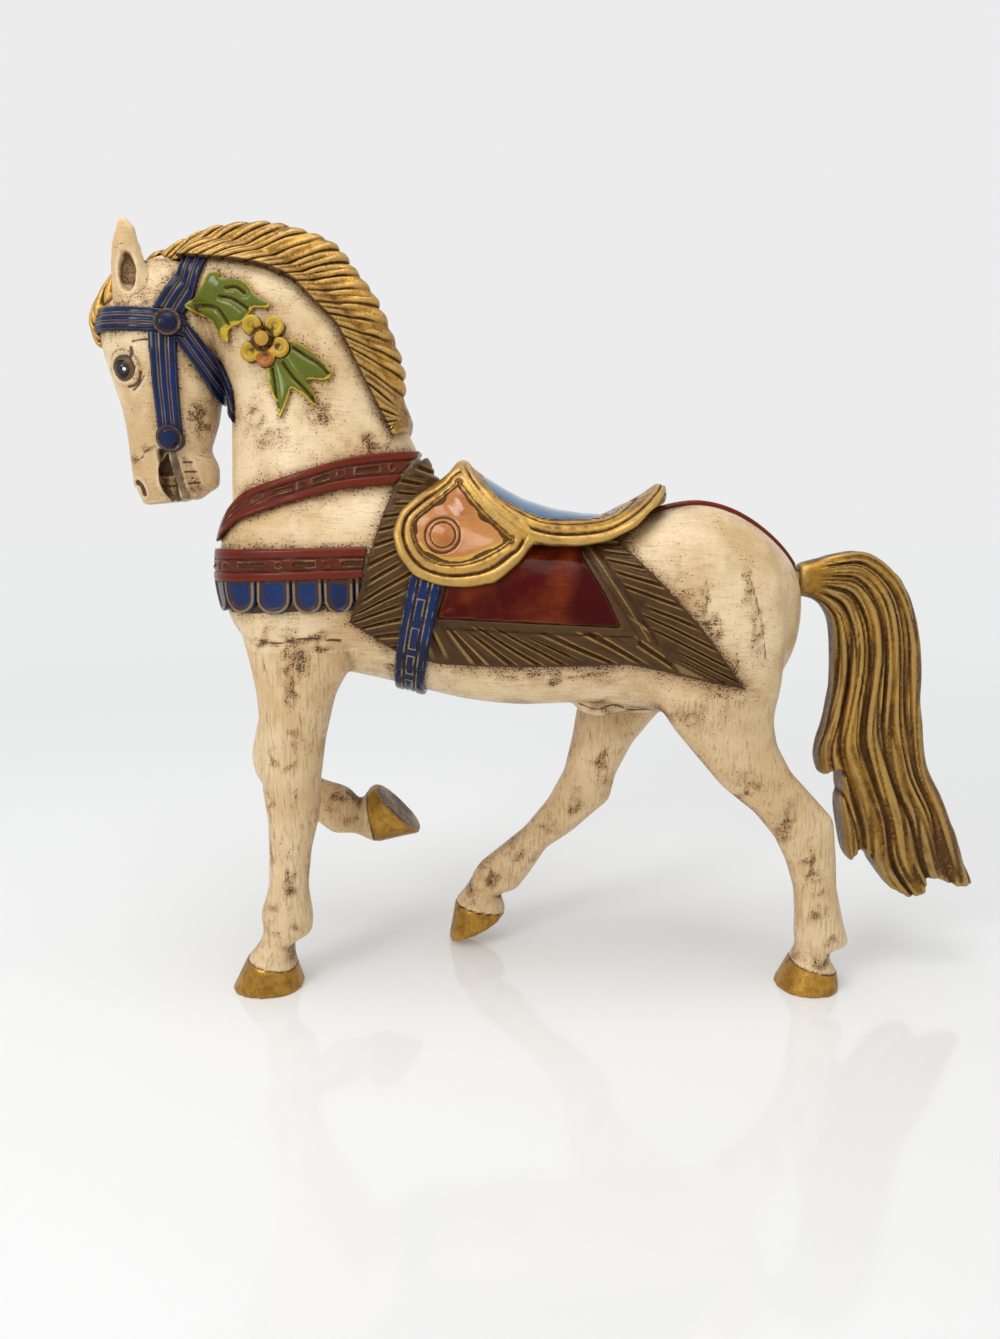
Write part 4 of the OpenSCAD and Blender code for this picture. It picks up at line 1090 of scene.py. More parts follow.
# Top edges of the standing hooves: [front point, rear point, least x, most x].
HOOF_LINES = [((-142, 15), (-116, 9.5), -160, -100), ((109, 13), (134, 8), 95, 150),
              ((-47, 21.5), (-19, 15.5), -60, -10)]


def patches(flat, rows):
    """The strength of the listed brown patches."""
    total = np.zeros(len(flat))
    uneven = 1 + 0.5 * wave_noise(flat, 7, 5)
    across = flat[:, 0] + 1.8 * wave_noise(flat, 7, 21)
    along = flat[:, 1] + 3.0 * wave_noise(flat, 10, 22)
    for x, z, w, h, strength in rows:
        total = np.maximum(total, strength * np.exp(
            -(((across - x) / w) ** 2 + ((along - z) / h) ** 2) / 1.4) * uneven)
    return 1.2 * total


def below_line(flat, a, b):
    """Millimetres below a side line from a to b."""
    slope = (b[1] - a[1]) / (b[0] - a[0])
    return (a[1] + (flat[:, 0] - a[0]) * slope) - flat[:, 1]


def wood_masks(work):
    """Stains, tan wash with painted shade on faces turned from the sides and facing down,
    knife scratches and gilt hooves on the body's own wood.
    """
    flat, side = work.flat, work.side
    rows = PATCHES + (LEG_PATCHES if side.mean() < 0 else []) + (
        FAR_PATCHES if side.mean() > 0 else [])
    trims = near_trims(flat) * ease(np.abs(side), 2, 10)
    work.stain_and_shade = np.maximum(trims, patches(flat, rows))
    turned = work.turned()
    # Tan wash and painted shade, stronger on faces turned away from the sides and on faces
    # turned down.
    rim = ease(turned, 0.35, 0.95) * (0.4 + 0.35 * np.clip(-work.normals[:, 2], 0, 1))
    work.stain_and_shade += rim * (1 + 0.5 * wave_noise(flat, 30, 8))
    for line, width, depth in SCRATCHES:
        broken = 0.55 + 0.45 * wave_noise(flat, 7, 11)
        work.scratch(line, width, depth, np.clip(broken, 0, 1))
    near, far = side < 0, side > 0
    hoof = np.zeros(len(flat))
    for where, (a, b, x0, x1) in zip((near, near, far), HOOF_LINES):
        inside_hoof = ease(below_line(flat, a, b), -0.3, 0.3)
        span = where & (flat[:, 0] > x0) & (flat[:, 0] < x1) & (flat[:, 1] < 30)
        hoof = np.maximum(hoof, inside_hoof * span)
        edge = np.where(span, below_line(flat, a, b), CLEAR)
        work.groove(edge, 0.5, 0.45, 0.9)
    raised = (flat[:, 0] + 90) - (79 - flat[:, 1]) * 5 / 26.5
    span = far & (flat[:, 0] > -100) & (flat[:, 0] < -55) & (flat[:, 1] > 45) & (
        flat[:, 1] < 90)
    hoof = np.maximum(hoof, ease(raised, -0.3, 0.3) * span)
    work.groove(np.where(span, raised, CLEAR), 0.5, 0.45, 0.9)
    sole = ease(work.normals @ np.array([0.75, 0, 0.66]), 0.8, 0.92) * span
    work.stain_and_shade += 0.5 * sole
    work.darken(0.42 * sole)
    work.plain = hoof
    store(work.obj, "gilt", hoof * (1 - sole))


def carve_wood(obj):
    """Cuts and stains on one wooden block."""
    work = Carving(obj)
    wood_masks(work)
    work.finish(everywhere=True)
    return obj


class HORSE_OT_blocks(bpy.types.Operator):
    """Sand the glued wooden blocks of the body, neck and legs"""
    bl_idname = "horse.blocks"
    bl_label = "Wooden blocks"

    def execute(self, context):
        skin = body_skin()
        legs = {
            "left_foreleg": [(-200, -86, -90, -5, -10, 158)],
            "right_fore": [(-200, -86, 5, 90, -10, 158)],
            "left_hind_leg": [(36, 200, -90, -5, -10, 138)],
            "right_hind_leg": [(12, 200, 5, 90, -10, 138), (-85.9, 12.1, 5, 90, -10, 118)]}
        torso = duplicate(skin, "torso_block")
        for boxes in legs.values():
            for box in boxes:
                cut(torso, box_cutter(*box), "DIFFERENCE")
        cut(torso, prism(ABOVE_NECK_BASE), "DIFFERENCE")
        cut(torso, bore_cutter(103.5, 4.05, 30), "DIFFERENCE")
        place(carve_wood(torso), ivory_paint(), "ivory_paint", ["torso"])
        for name, boxes in legs.items():
            leg = duplicate(skin, name + "_block")
            cutter = box_cutter(*boxes[0])
            for box in boxes[1:]:
                cut(cutter, box_cutter(*box), "UNION")
            cut(leg, cutter, "INTERSECT")
            nodes = ["right_forearm", "right_cannon"] if name == "right_fore" else [name]
            place(carve_wood(leg), leg_paint(), "ivory_paint", nodes)
        shoulder = duplicate(skin, "shoulder")
        cut(shoulder, prism(ABOVE_NECK_BASE), "INTERSECT")
        cut(shoulder, prism(HEAD_SIDE), "DIFFERENCE")
        place(carve_wood(shoulder), ivory_paint(), "ivory_paint", ["neck"])
        return {"FINISHED"}


# The face's cuts and outlines. The eye's cuts have [line, width, darkness].
EYE_CUTS = [([(-182.6, 283.3), (-180.9, 282.6), (-180.2, 284.3), (-180.6, 286.8)], 0.8, 0.95),
            ([(-183.5, 270.9), (-180.6, 271.4), (-178.2, 273.4), (-177.0, 276.6)], 0.7, 0.85),
            ([(-181.5, 269.4), (-178.4, 271.6), (-175.8, 275)], 0.6, 0.4),
            ([(-179.6, 289.3), (-176, 290), (-172, 290.2)], 0.8, 0.12),
            ([(-180, 278), (-177.6, 280)], 0.35, 0.5)]
NOSTRIL_CUT = [(-185.4, 230.2), (-184.2, 229.8), (-182.8, 228), (-182.4, 225.4)]
MOUTH_FRONT = [(-171.1, 242.8), (-172.9, 239.4), (-173.8, 235.7), (-173.8, 231),
               (-172.6, 226.8), (-170.8, 223.6), (-166.4, 222.6), (-167.1, 232),
               (-168.3, 237.6), (-168.9, 243)]
MOUTH_BACK = [(-163.8, 241.4), (-161.4, 242), (-159.6, 239.4), (-157.9, 235.2),
              (-156.3, 229.2), (-155.5, 226.8), (-160.6, 225.2), (-161.9, 231),
              (-163.1, 236.6)]
TOOTH_CUTS = [[(-173.4, 233.8), (-167.8, 233.8)], [(-173.2, 228.9), (-167.2, 228.9)],
              [(-162.7, 239), (-159.4, 239)], [(-162.4, 234.8), (-158, 235)],
              [(-161.4, 229.6), (-156.8, 230.1)]]
BAR_LINE = [(-168.9, 244), (-168.3, 237.6), (-167.1, 232), (-166.3, 219), (-161.2, 219),
            (-163.3, 232), (-164.5, 237.6), (-165.6, 244)]
BAR_SHINE = [(-168.6, 243), (-167.9, 237), (-166.7, 232), (-165.6, 221)]
LIP_CUT = [(-170.2, 222.4), (-168.4, 223), (-166.4, 221.7)]
CHEEK_CUTS = [[(-181.5, 241.5), (-178, 244.5), (-174.5, 246.5)],
              [(-186, 238.8), (-183, 240.4), (-180.5, 241.3)],
              [(-150.5, 246.5), (-148, 247.6)], [(-157, 242.5), (-153.5, 241.5)]]


class HORSE_OT_head(bpy.types.Operator):
    """Carve the head with its eyelids, nostrils, mouth and teeth"""
    bl_idname = "horse.head"
    bl_label = "Head"

    def execute(self, context):
        head = duplicate(head_skin(), "head_block")
        cut(head, prism(HEAD_SIDE), "INTERSECT")
        for side in (-1, 1):
            cut(head, ball_cutter((EYE[0], side * 15.5, EYE[1]), 4.75), "DIFFERENCE")
        work = Carving(head)
        flat = work.flat
        cheek = ease(np.abs(work.side), 4, 8)
        work.stain_and_shade = np.maximum(near_trims(flat) * cheek, patches(flat, PATCHES) * cheek)
        # Tan wash and painted shade where the head turns away from its sides.
        turned = work.turned()
        work.stain_and_shade += 0.5 * ease(turned, 0.4, 0.95)
        gap = off_point(EYE, flat)
        over = ease(flat[:, 1], 276, 281)
        work.height += (0.5 + 0.6 * over) * ridge(gap - 6.2, 1.1) * ease(gap, 4.7, 5.6)
        work.darken(1 - ease(gap, 5.0, 5.8))
        work.darken(0.6 * ridge(gap - 7.4, 0.4) * over)
        work.stain_and_shade += 0.4 * ridge(gap - 7.0, 1.6)
        for line, width, dark in EYE_CUTS:
            work.scratch(line, width, 0.55, dark)
        nostril = off_curve(NOSTRIL_CUT, flat)
        work.height -= 1.3 * (1 - ease(nostril, 0.6, 1.5))
        work.darken(1 - ease(nostril, 0.9, 1.5))
        work.height += 0.6 * ridge(nostril - 2.1, 0.6)
        for region, strong in ((MOUTH_FRONT, 1.0), (MOUTH_BACK, 0.45)):
            edge = from_edge(region, flat)
            depth = ease(edge, -0.2, 0.9) * cheek
            work.height -= 0.9 * strong * depth
            work.darken(strong * ridge(edge, 0.5) * cheek)
            work.stain_and_shade += 0.6 * depth
        above_teeth = ease(flat[:, 1], 233.6, 235)
        hollow = ease(from_edge(MOUTH_FRONT, flat), -0.1, 0.8) * above_teeth * cheek
        work.height -= 1.2 * hollow
        work.darken(hollow)
        for line in TOOTH_CUTS:
            work.groove(np.where(cheek > 0.5, off_line(line, flat), CLEAR), 0.4, 0.6, 1.0)
        bar = np.maximum(-from_edge(BAR_LINE, flat), 0)
        # A paler line along the bit bar is a painted highlight.
        on_bar = 1 - ease(bar, 0, 0.5)
        shine = off_curve(BAR_SHINE, flat)
        work.height += 0.5 * on_bar * cheek
        work.darken(on_bar * (0.62 - 0.4 * ridge(shine, 0.45)) * cheek)
        lip = off_curve(LIP_CUT, flat)
        work.groove(np.where(cheek > 0.5, lip, CLEAR), 0.6, 0.4, 1.0)
        work.groove(off_point((-146.9, 238), flat), 0.7, 0.5, 1.0)
        for line in CHEEK_CUTS:
            work.scratch(line, 0.4, 0.3, 0.55)
        work.finish(everywhere=True)
        store(head, "gilt", np.zeros(len(flat)))
        place(head, ivory_paint(), "ivory_paint", ["head"])
        return {"FINISHED"}


class HORSE_OT_ears(bpy.types.Operator):
    """Shape the two ears with their brown hollows"""
    bl_idname = "horse.ears"
    bl_label = "Ears"

    def execute(self, context):
        carving = context.scene.horse_carving
        for name, x, y, z in (("left_ear", -182, -17.2, 319), ("right_ear", -188, 16.2, 318)):
            ear = regrid(merged_copy([name], name + "_carved"), carving.trim_grid)
            sand(ear, 14, 0.7)
            work = Carving(ear)
            hollow = np.sqrt(((work.places[:, 0] - x) / 4.2) ** 2
                             + ((work.places[:, 2] - z) / 9.2) ** 2)
            outward = work.normals[:, 1] * (1 if y > 0 else -1)
            hollow += 0.1 * wave_noise(work.flat, 5, 3)
            mask = ease(1.0 - hollow, -0.1, 0.55) * ease(outward, 0.0, 0.4)
            work.height -= 1.1 * mask
            work.cut = 0.62 * mask
            work.stain_and_shade = np.maximum(0.9 * mask, 0.7 * ease(312 - work.flat[:, 1], 0, 8))
            work.finish(everywhere=True)
            store(ear, "gilt", np.zeros(len(work.flat)))
            place(ear, ivory_paint(), "ivory_paint", [name])
        return {"FINISHED"}


def leaning_rings(rows, lean):
    """Rows across the mane, two to a lock, leaning as its locks do."""
    last = len(rows) - 1
    fine = smooth_line(rows, 40)

    def at(place):
        return fine[int(round(min(max(place, 0), last) * 40))]

    rings = []
    for k in range(2 * LOCKS + 1):
        place = last * k / (2 * LOCKS)
        shift = lean * min(1, place / 1.5, (last - place) / 1.5)
        outer, inner = at(place + shift), at(place - 1.9 * shift)
        rings.append((outer[0], outer[1], inner[2], inner[3]))
    return rings


def comb(work, phase, share, seed, relief, narrow=0.12, first=0.3, last=0.75, hairs=1.0,
         reach=1.0, keep=True):
    """Rounded locks with a cut at each whole phase, running from share 0 to 1."""
    rng = np.random.default_rng(seed)
    lock = np.floor(phase).astype(int)
    part = phase - lock
    size = int(lock.max() - lock.min() + 3)
    index = lock - lock.min()
    starts = rng.uniform(first - 0.55, first, size)
    ends = rng.uniform(last, last + 0.6, size)
    deeps = rng.uniform(0.65, 1.0, size)
    edge = np.minimum(part, 1 - part)
    nearest = index + (part > 0.5)
    window = ease(share, starts[nearest] - 0.06, starts[nearest] + 0.14) * (
        1 - ease(share, ends[nearest] - 0.2, ends[nearest] + 0.06)) * reach
    taper = narrow * (0.45 + 0.55 * window)
    arch = 1 - np.abs(2 * part - 1) ** 3.5
    work.height += relief * (arch - 0.7) * (0.3 + 0.7 * window) * reach
    if keep:
        here = np.broadcast_to(reach, phase.shape) > 0
        work.phase = np.where(here, phase, work.phase)
        work.reach = np.where(here, window * deeps[nearest], work.reach)
    groove = np.exp(-(edge / taper) ** 2) * window * deeps[nearest]
    work.height -= relief * 0.7 * groove
    work.darken(groove)
    fine = rng.uniform(0.3, 0.7, size)[index]
    begin = rng.uniform(0.0, 0.45, size)[index]
    hair = ridge(part - fine, narrow * 0.4) * hairs * ease(share, begin, begin + 0.15) * (
        1 - ease(share, begin + 0.35, begin + 0.55)) * reach
    work.height -= relief * 0.35 * hair
    work.darken(0.6 * hair)


class HORSE_OT_mane(bpy.types.Operator):
    """Cut the mane and the forelock into gilded locks"""
    bl_idname = "horse.mane"
    bl_label = "Mane and forelock"

    def execute(self, context):
        carving = context.scene.horse_carving
        relief = carving.lock_relief / MM
        mane = regrid(merged_copy(["mane"], "mane_carved"), carving.hair_grid)
        sand(mane, 22, 0.8)
        work = Carving(mane)
        share, row = lattice(leaning_rings(CREST_STATIONS, 0.8), work.flat, 1)[1:]
        bend = 0.12 * np.sin(share * math.pi) + 0.05 * wave_noise(work.flat, 16, 3)
        comb(work, row / 2 + bend, share, 4, relief * 0.7, narrow=0.1, first=0.2,
             last=0.75, hairs=1.0)
        comb(work, row + bend * 2, share, 14, relief * 0.25, narrow=0.11, first=0.6,
             last=0.4, hairs=0.3, keep=False)
        inner = off_curve(MANE_EDGE, work.flat, 4)
        work.darken(0.9 * (1 - ease(inner, 0.2, 1.5)))
        # Tone: darker near the neck and at random, and painted shade where the mane turns away
        # from its sides.
        turned = work.turned()
        work.tone = 0.4 * (1 - ease(inner, 1.0, 9.0)) + 0.25 * ease(
            wave_noise(work.flat, 24, 6), -0.2, 0.7) + 0.3 * ease(turned, 0.3, 0.9)
        work.finish(everywhere=True)
        place(mane, gilt("Mane gold", age=0.5, grit=1.0, line=0.1, glow=0.5, glow_at=0.15,
                         glow_wide=0.07, gold=(0.52, 0.27, 0.04), old=(0.17, 0.075, 0.01)),
              "gold_paint", ["mane"])
        lock = regrid(merged_copy(["forelock"], "forelock_carved"), carving.hair_grid)
        sand(lock, 14, 0.7)
        work = Carving(lock)
        run = lattice(FORELOCK_STATIONS, work.flat)[0]
        comb(work, (work.side + 0.2 * run + 20) / 3.6, run / 60, 9, relief * 0.8)
        work.finish(everywhere=True)
        place(lock, gilt("Mane gold"), "gold_paint", ["forelock"])
        return {"FINISHED"}


class HORSE_OT_tail(bpy.types.Operator):
    """Cut the plug-in tail into long flowing locks"""
    bl_idname = "horse.tail"
    bl_label = "Tail"

    def execute(self, context):
        carving = context.scene.horse_carving
        relief = carving.tail_relief / MM
        tail = regrid(merged_copy(["tail"], "tail_carved"), carving.tail_grid)
        sand(tail, 26, 0.8)
        work = Carving(tail)
        run, share, row = lattice(TAIL_STATIONS, work.flat)
        sway = 0.14 * np.sin(np.radians(75 * row))
        strand = share - sway * share * (1 - share)
        flow = ease(row, 0.8, 2.2)
        where = row / 11
        drift = 0.022 * wave_noise(np.stack([run, strand * 200], 1), 70, 12)
        comb(work, (strand + drift) * 5, where, 21, relief * 0.7, narrow=0.08, first=0.15,
             last=0.95, hairs=0.0, reach=flow, keep=False)
        work.cut *= 0.6
        comb(work, (strand - drift) * 10 + 0.5, where, 33, relief * 0.4, narrow=0.12,
             first=0.45, last=0.45, hairs=0.7, reach=flow)
        work.reach *= 0.75
        streaks = wave_noise(np.stack([strand * 60, run * 0.07], 1), 6.5, 5)
        valley = 1 - ease(np.abs(streaks), 0.0, 0.6)
        work.height += relief * 0.45 * flow * (0.5 - valley)
        work.cut = np.maximum(work.cut * 0.6, 0.2 * valley * flow)
        broad = wave_noise(np.stack([strand * 40, run * 0.25], 1), 22, 6)
        part = (strand + drift) * 5
        off = np.abs(2 * (part - np.floor(part)) - 1)
        part = (strand - drift) * 10 + 0.5
        fine = np.abs(2 * (part - np.floor(part)) - 1)
        streak = wave_noise(np.stack([strand * 150, run * 0.3], 1), 9, 16)
        work.tone = 0.15 + 0.5 * off ** 1.6 + 0.25 * fine ** 2 + 0.3 * ease(
            broad, -0.2, 0.6) + 0.3 * streak
        # Tone: painted shade towards the tail's two edges and where it turns away from its
        # sides; darker near each cut, towards its end and at random.
        shade = ease(np.abs(share - 0.5), 0.34, 0.5)
        work.tone += 0.5 * shade + 0.35 * ease(row, 7.5, 10.5) - 0.2
        turned = work.turned()
        work.tone = np.clip(work.tone * flow + 0.9 * ease(turned, 0.3, 0.8), 0, 1)
        work.plain = np.full(len(work.tone), 0.45)
        socket = np.hypot(work.places[:, 1], work.places[:, 2] - PEG_HEIGHT)
        keep = (work.places[:, 0] < 130) & (socket < 5.5)
        work.height = np.where(keep | (work.places[:, 0] < 114.6), 0, work.height)
        work.finish(everywhere=True)
        cut(tail, box_cutter(90, 113.8, -40, 40, 150, 230), "DIFFERENCE")
        cut(tail, bore_cutter(119.15, 4, 13.3), "DIFFERENCE")
        place(tail, gilt("Tail gold", age=0.45, grit=0.5, line=0.06, glow=0.3, glow_at=0.3,
                         glow_wide=0.2, gold=(0.4, 0.2, 0.022), old=(0.09, 0.037, 0.006)),
              "tail_paint", ["tail"], TAIL)
        return {"FINISHED"}


class HORSE_OT_bridle(bpy.types.Operator):
    """Model the bridle straps, their grooves and the rosettes"""
    bl_idname = "horse.bridle"
    bl_label = "Bridle"

    def execute(self, context):
        grid = context.scene.horse_carving.trim_grid
        skin = head_skin()
        for name, line, stations, blocked in (
                ("browband", BROWBAND_LINE, BROWBAND_STATIONS, []),
                ("crown_strap", CROWN_LINE, CROWN_STATIONS, [BROWBAND_LINE]),
                ("cheek_straps", CHEEK_LINE, CHEEK_STATIONS, [BROWBAND_LINE, THROAT_LINE]),
                ("throat_strap", THROAT_LINE, THROAT_STATIONS, [BROWBAND_LINE, CROWN_LINE])):
            extra = [(prism(other), "DIFFERENCE") for other in blocked]
            strap = shell(name + "_carved", skin, line, 2.0, grid, extra)
            work = Carving(strap)
            share = lattice(stations, work.flat)[1]
            work.height += 0.55 * (rolls(share, 3) - 0.6)
            work.phase = share * 3
            work.reach = (0.8 + 0.3 * wave_noise(work.flat, 9, 3)) * (
                1 - ease(np.abs(share - 0.5), 0.4, 0.47))
            work.stain_and_shade = 0.5 * ease(np.abs(share - 0.5), 0.4, 0.52)
            work.finish()
            place(strap, blue_paint(), "blue_paint", [name])
        for name, x, z in (("upper_rosettes", -164, 297), ("lower_rosettes", -167, 249)):
            button = shell(name + "_carved", skin, ring_line(x, z, 5.8, 48), 3.6, grid)
            work = Carving(button)
            gap = off_point((x, z), work.flat)
            work.height += 0.9 * ridge(gap, 3.4) - 0.8 * ridge(gap - 4.2, 0.55)
            work.cut = ridge(gap - 4.15, 0.4)
            work.tone = 0.9 * ridge(gap - 5.1, 0.5)
            work.stain_and_shade = ease(gap, 3.4, 5.8)
            work.finish()
            place(button, blue_paint(), "blue_paint", [name])
        return {"FINISHED"}


class HORSE_OT_eyes(bpy.types.Operator):
    """Paint the eyes: white glint, black pupil, grey iris and black ring"""
    bl_idname = "horse.eyes"
    bl_label = "Eyes"

    def execute(self, context):
        material = bpy.data.materials.new("Eye paint")
        material.use_nodes = True
        board = Board(material.node_tree)
        shader = material.node_tree.nodes["Principled BSDF"]
        place_at = board.add("ShaderNodeTexCoord").outputs["Object"]
        split = board.add("ShaderNodeSeparateXYZ")
        board.feed(split.inputs[0], place_at)

        def ring(x, z):
            dx = board.math("SUBTRACT", split.outputs["X"], x * MM)
            dz = board.math("SUBTRACT", split.outputs["Z"], z * MM)
            square = board.math("ADD", board.math("MULTIPLY", dx, dx),
                                board.math("MULTIPLY", dz, dz))
            return board.math("SQRT", square)

        whole, glint = ring(-184.4, 278.3), ring(-184.0, 277.9)
        uneven = board.math("MULTIPLY", board.noise(place_at, 900, 2), 0.0006)
        whole = board.math("ADD", whole, uneven)
        color = board.mix(board.step(whole, 0.0024, 0.0028), (0.035, 0.032, 0.028),
                          (0.003, 0.003, 0.003))
        color = board.mix(board.step(whole, 0.0014, 0.0017), (0.004, 0.004, 0.004), color)
        color = board.mix(board.step(glint, 0.0006, 0.0009), (0.85, 0.85, 0.85), color)
        color = board.mix(board.step(whole, 0.0044, 0.0048), color, (0.16, 0.08, 0.04))
        board.feed(shader.inputs["Base Color"], color)
        board.feed(shader.inputs["Roughness"], board.step(whole, 0.002, 0.0045, 0.12, 0.4))
        shader.inputs["Specular IOR Level"].default_value = 0.2
        shader.inputs["Coat Weight"].default_value = 0.15
        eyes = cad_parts["eyes"]
        eyes.data.materials.clear()
        eyes.data.materials.append(material)
        return {"FINISHED"}


def left_of_neck():
    """A block over the left half of the neck and head."""
    return box_cutter(-200, -60, -80, 0, 200, 360)


def petal_line():
    """The flower's outline: five round petals about a middle disc."""
    line = []
    for step in range(120):
        a = step * math.tau / 120
        reach = FLOWER_MIDDLE
        for x, z in PETALS:
            along = (x - FLOWER[0]) * math.cos(a) + (z - FLOWER[1]) * math.sin(a)
            aside = (z - FLOWER[1]) * math.cos(a) - (x - FLOWER[0]) * math.sin(a)
            if along > 0 and abs(aside) < PETAL_SIZE:
                reach = max(reach, along + math.sqrt(PETAL_SIZE ** 2 - aside ** 2))
        line.append((FLOWER[0] + reach * math.cos(a), FLOWER[1] + reach * math.sin(a)))
    return line


class HORSE_OT_flower(bpy.types.Operator):
    """Carve the neck flower and its leaves"""
    bl_idname = "horse.flower"
    bl_label = "Flower and leaves"

    def execute(self, context):
        grid = context.scene.horse_carving.trim_grid
        paints = context.scene.horse_paint
        skin = head_skin()
        petals = petal_line()
        leaf = paint("Leaf paint", paints.green, (0.14, 0.17, 0.012), second=paints.yellow,
                     flecks=0.3, streaks=0.4, rub=0.6, dull=0.15, shine=0.2, coat=0.9,
                     spec=0.1)
        veins = {
            "upper_leaf": [[(-142.2, 307.8), (-136.5, 306.7), (-129.5, 302.3)],
                           [(-139.1, 311.3), (-134.8, 311.6), (-131.3, 309.2)],
                           [(-152, 304.5), (-144, 303), (-139, 296)]],
            "lower_leaves": [[(-120, 277.5), (-119.1, 270.7), (-118.1, 261)],
                             [(-115.2, 280.1), (-111, 274.2), (-106, 269.2), (-101.8, 264.3)],
                             [(-110.6, 286.4), (-105.6, 283.3), (-99.9, 279.8),
                              (-96.2, 276.1)]]}
        for name, line in (("upper_leaf", UPPER_LEAF_LINE), ("lower_leaves", LOWER_LEAF_LINE)):
            extra = [(left_of_neck(), "INTERSECT"), (prism(petals), "DIFFERENCE")]
            piece = shell(name + "_carved", skin, [tuple(p) for p in smooth_line(
                line, 4, True)[:-1]], 2.8, grid, extra)
            work = Carving(piece)
            edge = from_edge(line, work.flat)
            work.height += 0.5 * ease(edge, 0.3, 2.2) - 0.5
            for vein in veins[name]:
                gap = off_curve(vein, work.flat)
                work.groove(gap, 0.55, 0.9, 0.9)
                work.height -= 0.9 * ridge(gap, 1.7)
                work.tint(0.5 * ridge(gap - 1.4, 0.4))
            worn = 0.75 + 0.3 * wave_noise(work.flat, 9, 6)
            work.tint(worn * (1 - ease(edge, 0.2, 1.1)))
            if name == "upper_leaf":
                tip = np.hypot((work.flat[:, 0] + 135) / 8, (work.flat[:, 1] - 292) / 5)
                work.tint(1 - ease(tip, 0.7, 1.5))
            work.finish()
            place(piece, leaf, "green_paint", [name])
        blossom = shell("neck_flower_carved", skin, petals, 3.6, grid,
                        [(left_of_neck(), "INTERSECT")])
        work = Carving(blossom)
        flat = work.flat
        gap = off_point(FLOWER, flat)
        nearest = np.full(len(flat), 99.0)
        for x, z in PETALS:
            d = off_point((x, z), flat)
            toward = ease(gap, 5.0, 7.2)
            dish = (0.8 * x + 0.2 * FLOWER[0], 0.8 * z + 0.2 * FLOWER[1])
            away = off_point(dish, flat)
            work.height += 0.9 * ridge(d - 3.0, 1.0) * toward - 1.3 * ridge(away, 1.8)
            work.darken(0.7 * ridge(away, 1.2))
            nearest = np.minimum(nearest, d)
        between = ease(nearest, 4.1, 4.7)
        work.height -= 1.6 * between
        work.darken(between)
        work.groove(gap - 4.6, 0.8, 1.3, 1.0)
        work.tone = 0.9 * (1 - ease(off_point((-122.6, 281.3), flat), 3, 4.5))
        work.finish()
        bloom = paint("Flower paint", paints.yellow, paints.gold, second=paints.orange,
                      flecks=0.3, streaks=0.3, rub=0.6, dull=0.2, shine=0.25, coat=0.3)
        place(blossom, bloom, "gold_paint", ["neck_flower"])
        middle = shell("flower_boss_carved", skin, ring_line(*FLOWER, 3.5, 40), 4.2, grid,
                       [(left_of_neck(), "INTERSECT")])
        work = Carving(middle)
        gap = off_point(FLOWER, work.flat)
        work.height += 0.7 * ridge(gap, 2.6) - 0.5
        work.cut = ease(gap, 3.0, 3.6)
        work.finish()
        boss = paint("Boss paint", (0.5, 0.26, 0.03), paints.gold, flecks=0.2, streaks=0.2,
                     shine=0.25, coat=0.3)
        place(middle, boss, "orange_paint", ["flower_boss"])
        return {"FINISHED"}


def breast_run(work):
    """Millimetres round the breast from the left side to the right side."""
    x, y = work.places[:, 0] - BREAST_CENTRE, work.places[:, 1]
    angle = np.arctan2(np.abs(y), -x)
    return np.where(x > 0, 72 + x, 46 * np.clip(angle, 0, math.pi / 2)) * np.sign(y)


